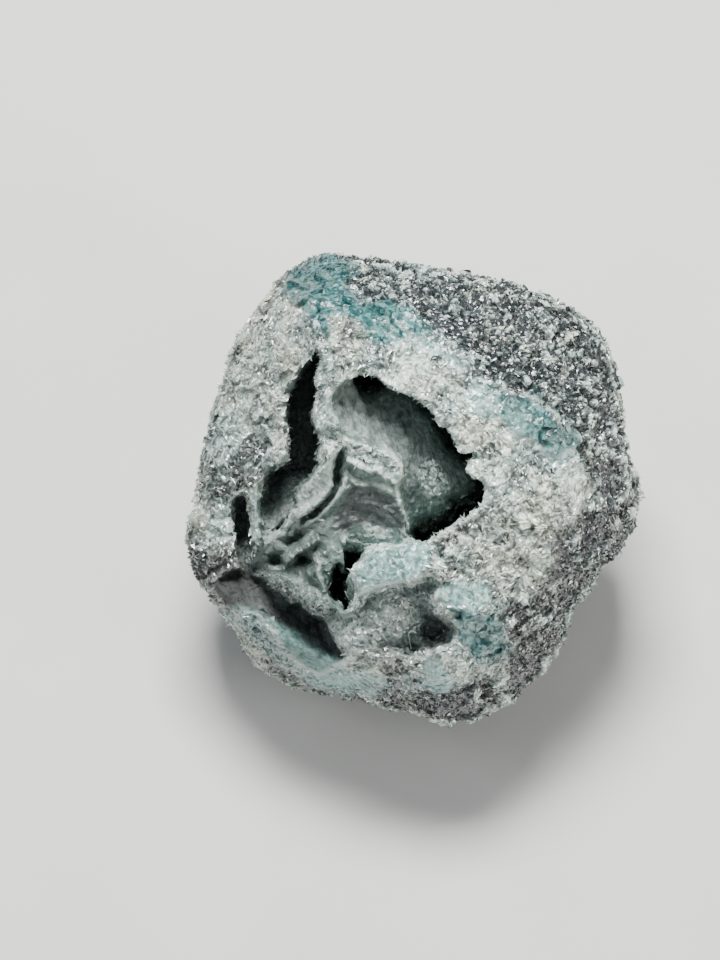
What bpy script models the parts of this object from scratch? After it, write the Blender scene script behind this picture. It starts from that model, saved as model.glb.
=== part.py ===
"""A rough diamond: a rounded, cube-like grey crystal about 8 mm across, broken open on one face.

The stone is one solid. It is sculpted in its own "face frame", in millimetres: u runs to the
right across the broken face, v up it and w straight out of it, from the stone's centre. The
finished stone is then leaned back, so that the face looks forwards and up, cut flat where it
rests, and set down with the middle of its foot at the origin, in metres.
"""

import math

import bmesh
import bpy
import numpy as np
from mathutils import Matrix, Vector

# ---------------------------------------------------------------- driving dimensions (mm)
FACE_ELEVATION = math.radians(62)  # how far above the horizon the broken face looks
FRONT_DEPTH = 3.2  # from the stone's centre out to the broken face
BACK_DEPTH = 3.5  # from the stone's centre to its back
SQUARENESS = 3.2  # 2 would be an egg, and a large number a box
FOOT_LEVEL = -3.3  # height of the flat foot, measured from the stone's centre
GRID_CELLS = 200  # across each side of the stone, when it is sculpted
SKIN_CELL = 0.065  # size of the cells that the skin is rebuilt from
TRIANGLES = 9600  # what the finished skin is simplified to

# The left of the broken face falls away in one flat face from a line across the stone.
LEFT_FACE_U = -1.6
LEFT_FACE_LEVEL = 2.85
LEFT_FACE_SLOPE = 1.25

# Lumps over the outside of the stone: (height, spacing, seed).
LUMPS = [(0.08, 1.4, 1), (0.05, 0.6, 2)]

# The hollows. A wall's width is how far across it falls.
HOLLOW_FLOOR = -0.6
HOLLOW_MIDDLE = (-0.3, 0.3)
UNDERCUT = 0.45  # how far the main hollow spreads under its rim
SLOT_FLOOR_V = [-0.9, -0.3, 0.4, 2.4]
SLOT_FLOOR_W = [1.1, 0.8, 0.0, 0.4]
SIDE_SLOT_DEPTH = 0.9
LOW_PATCH_DEPTH = 0.12
LOBE_LEVEL = 0.7
STEEP_WALL = 0.1
TONGUE_WALL = 0.18
RECESS_WALL = 0.22
TROUGH_WALL = 0.3

# The core's small relief.
CREST_SLOPE = 2.5
FOLD_HEIGHT = 0.03
FOLD_SPACING = 0.3
STEP_HEIGHT = 0.04
STEP_SPACING = 0.24
STEP_CENTRE = (-0.93, -1.16)

# Flat faces on the sides and back of the stone: (outward direction in u, v, w, distance).
SIDE_FACES = [
    ((0.49, 0.71, 0.5), 3.82), ((0.84, -0.05, 0.54), 3.8), ((0.5, -0.62, 0.6), 3.72),
    ((-0.35, -0.8, 0.35), 3.75), ((0.1, 0.35, -1.0), 3.25), ((-0.9, 0.2, -0.5), 3.6),
    ((0.8, 0.4, -0.65), 3.65), ((0.1, 0.95, -0.4), 3.8), ((0.4, -0.85, -0.3), 3.75),
    ((-0.6, -0.6, -0.55), 3.7),
]

# Small pits: (u, v, radius, depth).
PITS = [
    (-2.47, -1.24, 0.11, 0.35), (-1.97, -1.22, 0.09, 0.3), (-1.84, -1.24, 0.09, 0.35),
    (-0.08, -2.76, 0.15, 0.22), (0.3, -2.42, 0.17, 0.26),
    (-1.46, 0.84, 0.08, 0.25),
]

# Outline of the stone, seen straight onto the broken face.
STONE = [
    (-2.28, 3.85), (-1.66, 4.1), (-0.79, 4.06), (0.26, 3.96), (1.31, 3.73), (2.19, 3.47),
    (2.98, 3.06), (3.41, 2.45), (3.66, 1.58), (3.8, 0.7), (4.04, -0.14), (3.8, -0.88),
    (3.27, -1.51), (2.75, -2.14), (2.47, -2.8), (2.01, -3.5), (1.4, -3.96), (0.7, -4.13),
    (-0.09, -3.94), (-1.14, -3.75), (-2.19, -3.52), (-2.75, -3.12), (-3.06, -2.54),
    (-3.68, -1.79), (-4.04, -1.02), (-3.82, 0.0), (-3.62, 1.05), (-3.38, 1.93), (-3.1, 2.8),
    (-2.68, 3.38),
]

# Rims of the hollows, in the same view.
LEFT_SLOT = [
    (-1.7, 2.47), (-1.66, 2.19), (-1.73, 1.93), (-1.72, 1.58), (-1.77, 1.23), (-1.63, 0.91),
    (-1.6, 0.56), (-1.75, 0.21), (-1.98, -0.18), (-2.22, -0.5), (-2.45, -0.8), (-2.7, -0.9),
    (-2.74, -0.35), (-2.66, 0.12), (-2.55, 0.4), (-2.28, 0.53), (-2.26, 0.96), (-2.28, 1.4),
    (-2.21, 1.72), (-2.05, 2.05), (-1.87, 2.31),
]
SIDE_SLOT = [
    (-3.17, -0.12), (-2.94, -0.11), (-2.89, -0.44), (-2.87, -0.88), (-2.84, -1.42),
    (-2.98, -1.45), (-3.1, -1.31), (-3.19, -0.96), (-3.22, -0.53),
]
MAIN_HOLLOW = [
    (-1.42, 1.72), (-1.23, 1.93), (-1, 1.98), (-0.75, 2), (-0.53, 1.86), (-0.23, 1.7),
    (0.09, 1.54), (0.3, 1.37), (0.44, 1.14), (0.65, 0.93), (0.79, 0.68), (1, 0.67), (0.89, 0.49),
    (0.93, 0.28), (1.14, 0.18), (1.21, -0.04), (1.1, -0.28), (0.88, -0.46), (0.75, -0.53),
    (0.53, -0.7), (0.26, -0.82), (-0.02, -0.84), (-0.12, -0.82), (-0.26, -0.91), (-0.42, -0.93),
    (-0.65, -0.93), (-0.81, -1), (-0.91, -1.19), (-1.1, -1.37), (-1.09, -1.52), (-1.03, -1.72),
    (-1.05, -1.93), (-1.21, -2.12), (-1.38, -2.03), (-1.63, -1.93), (-2.01, -1.79),
    (-2.29, -1.58), (-2.57, -1.51), (-2.82, -1.4), (-2.78, -1.09), (-2.64, -0.84), (-2.36, -0.63),
    (-2.15, -0.32), (-1.94, 0), (-1.66, 0.28), (-1.49, 0.56), (-1.28, 0.81), (-1.31, 1.09),
    (-1.45, 1.37), (-1.47, 1.58),
]
LOWER_RECESS = [
    (-1.35, -2.03), (-1.21, -2.15), (-1.03, -1.96), (-0.93, -1.8), (-0.7, -1.72), (-0.53, -1.66),
    (-0.26, -1.61), (-0.09, -1.63), (0.05, -1.52), (0.23, -1.51), (0.39, -1.58), (0.35, -1.75),
    (0.3, -1.93), (0.39, -2.1), (0.54, -2.22), (0.65, -2.31), (0.68, -2.54), (0.65, -2.63),
    (0.53, -2.71), (0.35, -2.77), (0.18, -2.84), (0.05, -2.91), (-0.18, -2.89), (-0.44, -2.84),
    (-0.7, -2.77), (-0.96, -2.8), (-1.17, -2.91), (-1.28, -2.82), (-1.38, -2.63), (-1.49, -2.42),
    (-1.58, -2.17),
]
TROUGH = [
    (-3.55, -1.66), (-3.33, -1.45), (-3.06, -1.38), (-2.82, -1.45), (-2.64, -1.58),
    (-2.45, -1.79), (-2.28, -1.94), (-2.01, -1.94), (-1.84, -2.14), (-1.58, -2.21),
    (-1.49, -2.45), (-1.35, -2.71), (-1.21, -2.91), (-1.4, -3.06), (-1.7, -3.22), (-1.93, -3.1),
    (-2.19, -2.89), (-2.36, -2.63), (-2.54, -2.4), (-2.75, -2.19), (-3.06, -2.14), (-3.38, -2.01),
]
LOW_PATCH = [
    (0.58, -2.21), (0.96, -2.22), (1.31, -2.35), (1.51, -2.63), (1.45, -2.91), (1.14, -2.92),
    (0.82, -2.84), (0.65, -2.63),
]

# What is left standing in the main hollow: the core, a folded tongue behind it and a lobe
# behind that.
CORE = [
    (-1.7, 0.95), (-1.58, 0.86), (-1.72, 0.67), (-1.72, 0.44), (-1.82, 0.26), (-1.98, 0.09),
    (-2.07, -0.09), (-2.1, -0.25), (-2.22, -0.39), (-2.29, -0.56), (-2.38, -0.7), (-2.57, -0.79),
    (-2.75, -0.88), (-2.85, -1.1), (-2.82, -1.42), (-2.64, -1.56), (-2.45, -1.77), (-2.28, -1.94),
    (-2.01, -1.94), (-1.84, -2.14), (-1.58, -2.21), (-1.42, -2.28), (-1.21, -2.17),
    (-1.33, -2.01), (-1.47, -1.86), (-1.47, -1.7), (-1.4, -1.52), (-1.33, -1.35), (-1.19, -1.3),
    (-1.05, -1.23), (-1.03, -1.09), (-1.14, -1.02), (-1.14, -0.88), (-1.05, -0.75),
    (-0.86, -0.72), (-0.58, -0.72), (-0.3, -0.74), (-0.07, -0.7), (-0.05, -0.67), (-0.12, -0.46),
    (-0.23, -0.18), (-0.32, 0.05), (-0.19, 0.32), (-0.33, 0.58), (-0.6, 0.75), (-0.89, 0.88),
    (-1.21, 0.98), (-1.35, 1.09),
]
TONGUE = [
    (-1.63, 1.93), (-1.38, 2.1), (-1.1, 2.03), (-0.95, 1.77), (-0.84, 1.54), (-0.63, 1.45),
    (-0.4, 1.54), (-0.12, 1.33), (0.09, 1.05), (0.25, 0.79), (0.42, 0.53), (0.61, 0.33),
    (0.7, 0.16), (0.6, -0.04), (0.33, -0.18), (-0.02, -0.32), (-0.33, -0.28), (-0.61, 0.18),
    (-1.14, 0.7), (-1.4, 0.88),
]
BACK_LOBE = [
    (0.21, 1.44), (0.46, 1.4), (0.6, 1.12), (0.6, 0.81), (0.46, 0.58), (0.3, 0.84),
]

# Levels of the ground inside the hollows, as (u, v, w).
CORE_POSTS = [
    (-1.23, 0.88, 2.75), (-0.88, 0.75, 2.66), (-0.53, 0.58, 2.6), (-0.3, 0.39, 2.52),
    (-0.4, 0.18, 2.44), (-1.14, 0.67, 2.64), (-0.79, 0.49, 2.58), (-1.14, 0.39, 2.42),
    (-0.88, 0.26, 2.3), (-0.61, 0.18, 2.26), (-1.23, 0.14, 2.42), (-0.88, 0, 2.24),
    (-0.51, -0.07, 2.22), (-0.21, -0.18, 2.15), (-1.14, -0.18, 2.08), (-0.7, -0.26, 1.9),
    (-0.39, -0.39, 1.9), (-0.16, -0.61, 1.84), (-1.14, -0.44, 1.94), (-0.75, -0.49, 1.76),
    (-0.44, -0.6, 1.76), (-1.4, -0.88, 1.9), (-0.75, -0.88, 1.6), (-1.23, -1.05, 1.85),
    (-1.05, -1.16, 1.75), (-1.49, -1.31, 1.8), (-1.38, -1.58, 1.75), (-1.47, -1.87, 1.75),
    (-1.31, -2.14, 2.1), (-0.96, -2.14, 2.4), (-1.1, -2.63, 2.3), (-1.49, -2.36, 1.95),
    (-1.66, -1.93, 1.7), (-2.01, -1.79, 1.45), (-2.28, -1.52, 1.2), (-2.54, -1.61, 1),
    (-1.87, -1.44, 1.35), (-2.19, -1.26, 1.25), (-2.45, -1.02, 1.3), (-2.71, -1.16, 1.08),
    (-2.78, -1.4, 0.95), (-2.45, -0.6, 1.15), (-2.19, -0.56, 1.5), (-2.05, -0.18, 1.85),
    (-1.84, -0.23, 1.88), (-1.66, -0.04, 2.1), (-1.56, 0.21, 2.4), (-1.84, 0.14, 2.15),
    (-1.66, 0.49, 2.5), (-1.63, 0.88, 2.6), (-1.58, -0.67, 1.88), (-1.93, -0.77, 1.55),
    (-0.61, -1.93, 2.62), (-0.26, -1.84, 2.6), (0.18, -1.72, 2.58), (-0.53, -2.36, 2.42),
    (-0.18, -2.31, 2.3), (0.12, -2.1, 2.25), (0.3, -2.42, 1.95), (0.56, -2.49, 1.95),
    (0, -2.71, 1.95), (-0.35, -2.71, 2.15), (-0.75, -2.63, 2.3), (0.37, -2.71, 1.9),
]
TONGUE_POSTS = [
    (-1.49, 1.82, 2.7), (-1.23, 1.37, 2.55), (-1.17, 1.82, 2.5), (-1, 1.54, 2.4),
    (-0.96, 1.14, 2.45), (-1.23, 0.96, 2.6), (-0.68, 1.37, 2.05), (-0.37, 1.44, 1.9),
    (-0.26, 1.09, 2.15), (-0.53, 0.88, 2.36), (-0.05, 0.84, 2.12), (0.09, 1, 1.8),
    (0.23, 0.7, 1.85), (-0.12, 0.39, 2.2), (-0.3, 0, 2.1), (0.18, 0.39, 2.05), (0.4, 0.39, 1.85),
    (0.54, 0.14, 1.75), (0.26, -0.07, 1.8), (-0.05, -0.23, 1.6), (0.67, 0.16, 1.55),
]
TROUGH_POSTS = [
    (-3.33, -1.72, 1), (-3.06, -1.72, 1), (-2.71, -1.82, 1.05), (-2.28, -2.07, 1),
    (-1.93, -2.21, 0.95), (-1.58, -2.5, 1.05), (-1.37, -2.8, 1.3), (-2.89, -2, 1.15),
    (-2.54, -2.28, 1.3), (-2.19, -2.52, 1.45), (-1.84, -2.8, 1.65), (-1.58, -2.98, 1.75),
    (-2.01, -2.89, 1.8), (-1.7, -3.12, 1.9),
]

# Crests of the core, as (u, v, w), and the grooves between them.
LEFT_CREST = [
    (-1.23, 0.88, 2.8), (-1.35, 0.72, 2.78), (-1.47, 0.56, 2.74), (-1.47, 0.39, 2.68),
    (-1.44, 0.23, 2.6), (-1.49, 0.05, 2.42), (-1.63, -0.14, 2.2), (-1.84, -0.35, 2),
    (-2.01, -0.46, 1.88),
]
SHELF_CREST = [
    (-2.01, -0.46, 1.88), (-2.19, -0.33, 1.7),
]
RIGHT_CREST = [
    (-1.21, 0.21, 2.54), (-1.24, 0.07, 2.46), (-1.42, -0.19, 2.28), (-1.58, -0.37, 2.02),
    (-1.79, -0.53, 1.84), (-1.98, -0.68, 1.65),
]
BRANCH_CREST = [
    (-2.15, -0.3, 1.75), (-2.24, -0.51, 1.6), (-2.35, -0.72, 1.45), (-2.54, -0.89, 1.3),
    (-2.78, -1.03, 1.2), (-2.87, -1.26, 1.05),
]
FOOT_CREST = [
    (-2.29, -1.23, 1.4), (-2.07, -1.1, 1.6), (-1.93, -1.02, 1.75), (-1.77, -0.89, 1.9),
]
ARCH_CREST = [
    (-1.77, -1.17, 1.75), (-1.66, -1.3, 1.85), (-1.7, -1.52, 1.8), (-1.59, -1.75, 1.75),
]
SADDLE_TOP = [
    (-1.23, 0.88, 2.8), (-0.96, 0.77, 2.74), (-0.75, 0.7, 2.7), (-0.54, 0.68, 2.68),
    (-0.39, 0.6, 2.64), (-0.26, 0.46, 2.6), (-0.23, 0.28, 2.52),
]
SADDLE_EDGE = [
    (-1.23, 0.61, 2.62), (-1.1, 0.51, 2.66), (-0.95, 0.42, 2.66), (-0.77, 0.37, 2.62),
    (-0.61, 0.3, 2.58), (-0.49, 0.19, 2.54), (-0.35, 0.16, 2.5),
]
SHELF_EDGE = [
    (-1.1, 0.18, 2.42), (-0.91, 0.12, 2.4), (-0.68, 0.11, 2.36), (-0.47, 0.04, 2.34),
    (-0.33, -0.11, 2.3),
]
DRAPE_CREST = [
    (-0.25, 0.25, 2.5), (-0.33, 0.05, 2.42), (-0.28, -0.18, 2.28), (-0.19, -0.39, 2.14),
    (-0.12, -0.58, 2), (-0.09, -0.7, 1.9),
]
DRAPE_HEM = [
    (-1.26, -0.88, 1.96), (-1.14, -0.75, 2), (-0.93, -0.68, 2), (-0.68, -0.68, 1.97),
    (-0.42, -0.7, 1.93), (-0.14, -0.72, 1.86),
]
GROOVE = [
    (-1.33, 0.67), (-1.37, 0.44), (-1.37, 0.21),
]
GROOVE_END = [
    (-1.38, 0.11), (-1.47, -0.12), (-1.66, -0.32), (-1.96, -0.56),
]
HEM_GROOVE = [
    (-1.23, -0.68), (-1.05, -0.6), (-0.82, -0.56), (-0.53, -0.6), (-0.3, -0.63),
]
PIT_GROOVE = [
    (-2.22, -0.93), (-2.12, -0.88), (-2, -0.79),
]
# Each crest, and half the width of its top.
CRESTS = [
    (LEFT_CREST, 0.02), (SHELF_CREST, 0.015), (RIGHT_CREST, 0.02), (BRANCH_CREST, 0.09),
    (FOOT_CREST, 0.045), (ARCH_CREST, 0.04), (SADDLE_TOP, 0.03), (SADDLE_EDGE, 0.03),
    (SHELF_EDGE, 0.02), (DRAPE_CREST, 0.025), (DRAPE_HEM, 0.03),
]
# Each groove, its depth and half its width.
GROOVES = [
    (GROOVE, 0.5, 0.09), (GROOVE_END, 0.26, 0.04), (HEM_GROOVE, 0.14, 0.035),
    (PIT_GROOVE, 0.24, 0.07),
]

# ---------------------------------------------------------------- measuring
def smooth_loop(points, per_span=4):
    """The closed curve through the points, as a Catmull-Rom spline."""
    p = np.array(points, float)
    a, b, c, d = (np.roll(p, shift, 0)[:, None, :] for shift in (1, 0, -1, -2))
    t = (np.arange(per_span) / per_span)[None, :, None]
    curve = 0.5 * (
        2 * b + (c - a) * t + (2 * a - 5 * b + 4 * c - d) * t**2 + (3 * b - a - 3 * c + d) * t**3
    )
    return curve.reshape(-1, 2)


def depth_inside(u, v, outline):
    """Distance from each point in to the outline, and below zero outside it."""
    loop = smooth_loop(outline)
    low, high = loop.min(0) - 1, loop.max(0) + 1
    near = (u > low[0]) & (u < high[0]) & (v > low[1]) & (v < high[1])
    x, y = u[near], v[near]
    nearest = np.full(len(x), np.inf)
    inside = np.zeros(len(x), bool)
    for (x0, y0), (x1, y1) in zip(loop, np.roll(loop, -1, 0)):
        dx, dy = x1 - x0, y1 - y0
        along = np.clip(((x - x0) * dx + (y - y0) * dy) / (dx * dx + dy * dy), 0, 1)
        nearest = np.minimum(nearest, np.hypot(x - x0 - along * dx, y - y0 - along * dy))
        crosses = (y0 > y) != (y1 > y)
        inside ^= crosses & (x < x0 + (y - y0) * dx / (dy if dy else 1))
    depth = np.full(len(u), -1.0)
    depth[near] = np.where(inside, nearest, -nearest)
    return depth


def along_path(u, v, path):
    """Distance from each point to the path, and the path's height where it is nearest."""
    nearest, height = np.full(len(u), np.inf), np.zeros(len(u))
    for (x0, y0, w0), (x1, y1, w1) in zip(path, path[1:]):
        dx, dy = x1 - x0, y1 - y0
        along = np.clip(((u - x0) * dx + (v - y0) * dy) / (dx * dx + dy * dy), 0, 1)
        away = np.hypot(u - x0 - along * dx, v - y0 - along * dy)
        height = np.where(away < nearest, w0 + along * (w1 - w0), height)
        nearest = np.minimum(nearest, away)
    return nearest, height


def sheet(u, v, posts):
    """Height of a thin, stiff sheet that rests on every post."""
    x, y, height = np.array(posts, float).T

    def bending(at_u, at_v):
        square = (at_u[:, None] - x) ** 2 + (at_v[:, None] - y) ** 2
        return square * np.log(square + 1e-9)

    count = len(x)
    flat = np.column_stack([np.ones(count), x, y])
    system = np.block([[bending(x, y), flat], [flat.T, np.zeros((3, 3))]])
    weights = np.linalg.solve(system, np.append(height, [0, 0, 0]))
    level = bending(u, v) @ weights[:count]
    return level + weights[count] + weights[count + 1] * u + weights[count + 2] * v


def step(x):
    """0 up to x = 0, 1 from x = 1, and smooth between."""
    x = np.clip(x, 0, 1)
    return x * x * (3 - 2 * x)


def lower_of(a, b, blend):
    """The lower of two heights, rounded over where they meet."""
    mix = np.clip(0.5 + 0.5 * (b - a) / blend, 0, 1)
    return b + (a - b) * mix - blend * mix * (1 - mix)


def noise(points, wavelength, seed):
    """Smooth noise between -1 and 1."""
    size = 32
    table = np.random.default_rng(seed).uniform(-1, 1, (size, size, size))
    q = points / wavelength + 100
    cell = np.floor(q).astype(int)
    part = step(q - cell)
    total = np.zeros(len(points))
    for corner in np.ndindex(2, 2, 2):
        i, j, k = ((cell + corner) % size).T
        total += np.prod(np.where(corner, part, 1 - part), axis=1) * table[i, j, k]
    return total


# ---------------------------------------------------------------- the stone's forms
def outer_form(directions):
    """Points of the unbroken stone, one for each direction from its centre."""
    dx, dy, dz = directions.T
    angle = np.arctan2(dy, dx)
    tilt = np.arctan2(np.hypot(dx, dy), np.abs(dz)) / (math.pi / 2)
    # Even spacing across the face up to near its edge, then even steps down the side.
    edge_tilt, edge_reach = 0.5, 0.86
    edge_turn = math.asin(edge_reach ** (SQUARENESS / 2))
    on_face = np.minimum(tilt, edge_tilt) * edge_reach / edge_tilt
    down_side = np.interp(tilt, [edge_tilt, 1], [edge_turn, math.pi / 2])
    turn = np.where(tilt < edge_tilt, np.arcsin(on_face ** (SQUARENESS / 2)), down_side)
    reach = np.sin(turn) ** (2 / SQUARENESS)

    loop = smooth_loop(STONE, 8)
    loop_angle = np.arctan2(loop[:, 1], loop[:, 0])
    order = np.argsort(loop_angle)
    radius = np.interp(angle, loop_angle[order], np.hypot(*loop[order].T), period=2 * math.pi)
    depth = np.where(dz > 0, FRONT_DEPTH, -BACK_DEPTH) * np.cos(turn)
    u, v = reach * radius * np.cos(angle), reach * radius * np.sin(angle)
    left_face = LEFT_FACE_LEVEL + LEFT_FACE_SLOPE * (u - LEFT_FACE_U)
    cut = lower_of(depth, left_face, 0.5)
    w = np.where(dz > 0, depth + (cut - depth) * (1 - reach**8), depth)
    return u, v, w


def sink(height, u, v, rim, floor, wall=STEEP_WALL):
    """Drops the surface to the floor inside a rim, down a steep wall."""
    share = step(0.4 + depth_inside(u, v, rim) / wall)
    return height + np.minimum(floor - height, 0) * share


def stand(height, u, v, outline, top, wall=STEEP_WALL):
    """Raises the surface to the top of a standing form inside its outline."""
    share = step(0.4 + depth_inside(u, v, outline) / wall)
    return height + np.maximum(top - height, 0) * share


def raise_crests(level, u, v):
    """The core's level with its sharp crests standing up out of it."""
    for crest, half_width in CRESTS:
        away, top = along_path(u, v, crest)
        level = np.maximum(level, top - CREST_SLOPE * np.maximum(0, away - half_width))
    return level


def folded(u, v, level):
    """The tongue's level, with its long folds."""
    across = 0.94 * u + 0.34 * v + 0.06 * np.sin(5 * v)
    return level + FOLD_HEIGHT * np.sin(2 * math.pi * across / FOLD_SPACING)


def stepped(u, v, level):
    """The core's level, with the curved steps of the drape below the saddle."""
    away = np.hypot(u - STEP_CENTRE[0], v - STEP_CENTRE[1])
    on_drape = step((u + 1.3) / 0.2) * step((0.2 - v) / 0.2) * step((v + 0.95) / 0.2)
    return level + STEP_HEIGHT * np.sin(2 * math.pi * away / STEP_SPACING) * on_drape


def carve(u, v, face):
    """The face's height with its hollows sunk and its core left standing."""
    ground = stepped(u, v, sheet(u, v, CORE_POSTS))
    height = sink(face, u, v, LOW_PATCH, face - LOW_PATCH_DEPTH)
    height = sink(height, u, v, LOWER_RECESS, ground, RECESS_WALL)
    height = sink(height, u, v, LEFT_SLOT, np.interp(v, SLOT_FLOOR_V, SLOT_FLOOR_W))
    height = sink(height, u, v, SIDE_SLOT, face - SIDE_SLOT_DEPTH)
    height = sink(height, u, v, TROUGH, sheet(u, v, TROUGH_POSTS), TROUGH_WALL)
    height = sink(height, u, v, MAIN_HOLLOW, HOLLOW_FLOOR)

    height = stand(height, u, v, BACK_LOBE, LOBE_LEVEL)
    tongue = folded(u, v, sheet(u, v, TONGUE_POSTS))
    height = stand(height, u, v, TONGUE, tongue, TONGUE_WALL)
    height = stand(height, u, v, CORE, raise_crests(ground, u, v))
    for groove, depth, half_width in GROOVES:
        away, _ = along_path(u, v, [(x, y, 0) for x, y in groove])
        height -= depth * np.exp(-((away / half_width) ** 2))
    for pit_u, pit_v, radius, depth in PITS:
        away = np.hypot(u - pit_u, v - pit_v)
        height -= depth * np.exp(-((away / radius) ** 3))
    return np.minimum(height, face)


def undercut(u, v, height, face):
    """Spreads the deep part of the main hollow under its rim, all but the left."""
    rim = depth_inside(u, v, MAIN_HOLLOW)
    deep = step((face - height - 0.5) / 1.2) * step((rim + 0.1) / 0.1) * step(1.2 - rim)
    reach = UNDERCUT * deep * step((u + 1.35) / 0.4)
    from_u, from_v = u - HOLLOW_MIDDLE[0], v - HOLLOW_MIDDLE[1]
    away = np.maximum(np.hypot(from_u, from_v), 0.1)
    return u + reach * from_u / away, v + reach * from_v / away


def flatten(points, direction, distance, rounding=0.25):
    """Presses whatever reaches past a plane back onto it, with a rounded edge."""
    normal = np.array(direction) / np.linalg.norm(direction)
    past = points @ normal - distance
    give = np.where(past > -rounding, (past + rounding) ** 2 / (4 * rounding), 0)
    give = np.where(past > rounding, past, give)
    return points - give[:, None] * normal


def stone_points(directions):
    """The whole stone's surface in the face frame, before its skin is rebuilt."""
    u, v, w = outer_form(directions)
    points = np.column_stack([u, v, w])
    for direction, distance in SIDE_FACES:
        points = flatten(points, direction, distance)
    outwards = directions / np.linalg.norm(directions, axis=1)[:, None]
    lumps = sum(height * noise(points, spacing, seed) for height, spacing, seed in LUMPS)
    points += outwards * lumps[:, None]

    front = directions[:, 2] > 0
    u, v, face = points[front].T
    w = carve(u, v, face)
    u, v = undercut(u, v, w, face)
    points[front] = np.column_stack([u, v, w])
    return points


# ---------------------------------------------------------------- building in Blender
def clear_scene():
    for obj in list(bpy.data.objects):
        bpy.data.objects.remove(obj)


def coordinates(mesh):
    co = np.empty(len(mesh.vertices) * 3)
    mesh.vertices.foreach_get("co", co)
    return co.reshape(-1, 3)


def round_cube(cells):
    """A cube with an even grid on each face, to be blown up into the stone."""
    bm = bmesh.new()
    bmesh.ops.create_cube(bm, size=2)
    bmesh.ops.subdivide_edges(bm, edges=bm.edges, cuts=cells - 1, use_grid_fill=True)
    mesh = bpy.data.meshes.new("stone")
    bm.to_mesh(mesh)
    bm.free()
    return mesh


def keep_modified(obj):
    """Makes the mesh that the modifiers give the object's own."""
    graph = bpy.context.evaluated_depsgraph_get()
    obj.data = bpy.data.meshes.new_from_object(obj.evaluated_get(graph))
    obj.modifiers.clear()


def rebuild_skin(obj):
    """Rebuilds the skin from even cells, and simplifies it where it is smooth."""
    remesh = obj.modifiers.new("even_skin", "REMESH")
    remesh.mode = "VOXEL"
    remesh.voxel_size = SKIN_CELL
    keep_modified(obj)
    ease = obj.modifiers.new("ease", "SMOOTH")
    ease.factor = 0.5
    simplify = obj.modifiers.new("simplify", "DECIMATE")
    simplify.ratio = TRIANGLES / (2 * len(obj.data.polygons))
    keep_modified(obj)


def set_down(mesh):
    """Leans the stone back, cuts its foot flat and stands it on the origin, in metres."""
    mesh.transform(Matrix.Rotation(math.pi / 2 - FACE_ELEVATION, 4, "X"))
    bm = bmesh.new()
    bm.from_mesh(mesh)
    cut = bmesh.ops.bisect_plane(
        bm,
        geom=bm.verts[:] + bm.edges[:] + bm.faces[:],
        plane_co=(0, 0, FOOT_LEVEL),
        plane_no=(0, 0, -1),
        clear_outer=True,
    )
    rim = [e for e in cut["geom_cut"] if isinstance(e, bmesh.types.BMEdge)]
    bmesh.ops.contextual_create(bm, geom=rim)
    bmesh.ops.triangulate(bm, faces=bm.faces)
    bm.to_mesh(mesh)
    bm.free()
    co = coordinates(mesh)
    middle = (co.min(0) + co.max(0)) / 2
    mesh.transform(Matrix.Translation(Vector((-middle[0], -middle[1], -FOOT_LEVEL))))
    mesh.transform(Matrix.Scale(0.001, 4))


def diamond_material():
    material = bpy.data.materials.new("rough_diamond")
    material.use_nodes = True
    shader = material.node_tree.nodes["Principled BSDF"]
    shader.inputs["Base Color"].default_value = (0.42, 0.47, 0.47, 1)
    shader.inputs["Roughness"].default_value = 0.35
    shader.inputs["Metallic"].default_value = 0
    return material


def build_diamond():
    mesh = round_cube(GRID_CELLS)
    mesh.vertices.foreach_set("co", stone_points(coordinates(mesh)).ravel())
    obj = bpy.data.objects.new("rough_diamond", mesh)
    bpy.context.scene.collection.objects.link(obj)
    rebuild_skin(obj)
    set_down(obj.data)
    obj.data.materials.append(diamond_material())


clear_scene()
build_diamond()
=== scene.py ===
"""Rough diamond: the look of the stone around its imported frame, with floor, light and camera.

The stone's form is the one of its CAD solid, sculpted again by the same functions with finer
cells, so that its rims are ragged, its surfaces crinkled and its folds fine. Over it lie three
coats of small octahedral crystals. The face frame is in millimetres: u runs to the right across
the broken face, v up it and w straight out of it, from the stone's centre.
"""

import functools
import math

import bpy
import numpy as np
from mathutils import Matrix, Vector


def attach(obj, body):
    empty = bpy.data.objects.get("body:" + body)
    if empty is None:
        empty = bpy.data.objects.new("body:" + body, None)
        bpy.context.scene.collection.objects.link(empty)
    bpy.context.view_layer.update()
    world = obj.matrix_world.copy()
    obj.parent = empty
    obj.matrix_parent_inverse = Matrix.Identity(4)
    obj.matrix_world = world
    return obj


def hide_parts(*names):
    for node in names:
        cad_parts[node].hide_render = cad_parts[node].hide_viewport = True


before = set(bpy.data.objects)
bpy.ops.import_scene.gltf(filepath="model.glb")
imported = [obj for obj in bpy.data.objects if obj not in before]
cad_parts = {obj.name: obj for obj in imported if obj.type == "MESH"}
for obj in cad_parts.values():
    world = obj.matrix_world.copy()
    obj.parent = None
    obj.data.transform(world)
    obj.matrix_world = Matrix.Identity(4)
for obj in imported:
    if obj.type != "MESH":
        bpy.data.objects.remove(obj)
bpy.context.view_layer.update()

# -------- driving dimensions (mm)
FACE_ELEVATION = math.radians(62)  # how far above the horizon the broken face looks
FRONT_DEPTH = 3.2  # from the stone's centre out to the broken face
BACK_DEPTH = 3.5  # from the stone's centre to its back
SQUARENESS = 3.2  # 2 would be an egg, and a large number a box
FOOT_LEVEL = -3.3  # height of the flat foot, measured from the stone's centre

# The left of the broken face falls away in one flat face from a line across the stone.
LEFT_FACE_U = -1.6
LEFT_FACE_LEVEL = 2.85
LEFT_FACE_SLOPE = 1.25

# Lumps over the outside of the stone: (height, spacing, seed).
LUMPS = [(0.08, 1.4, 1), (0.05, 0.6, 2)]

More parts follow.
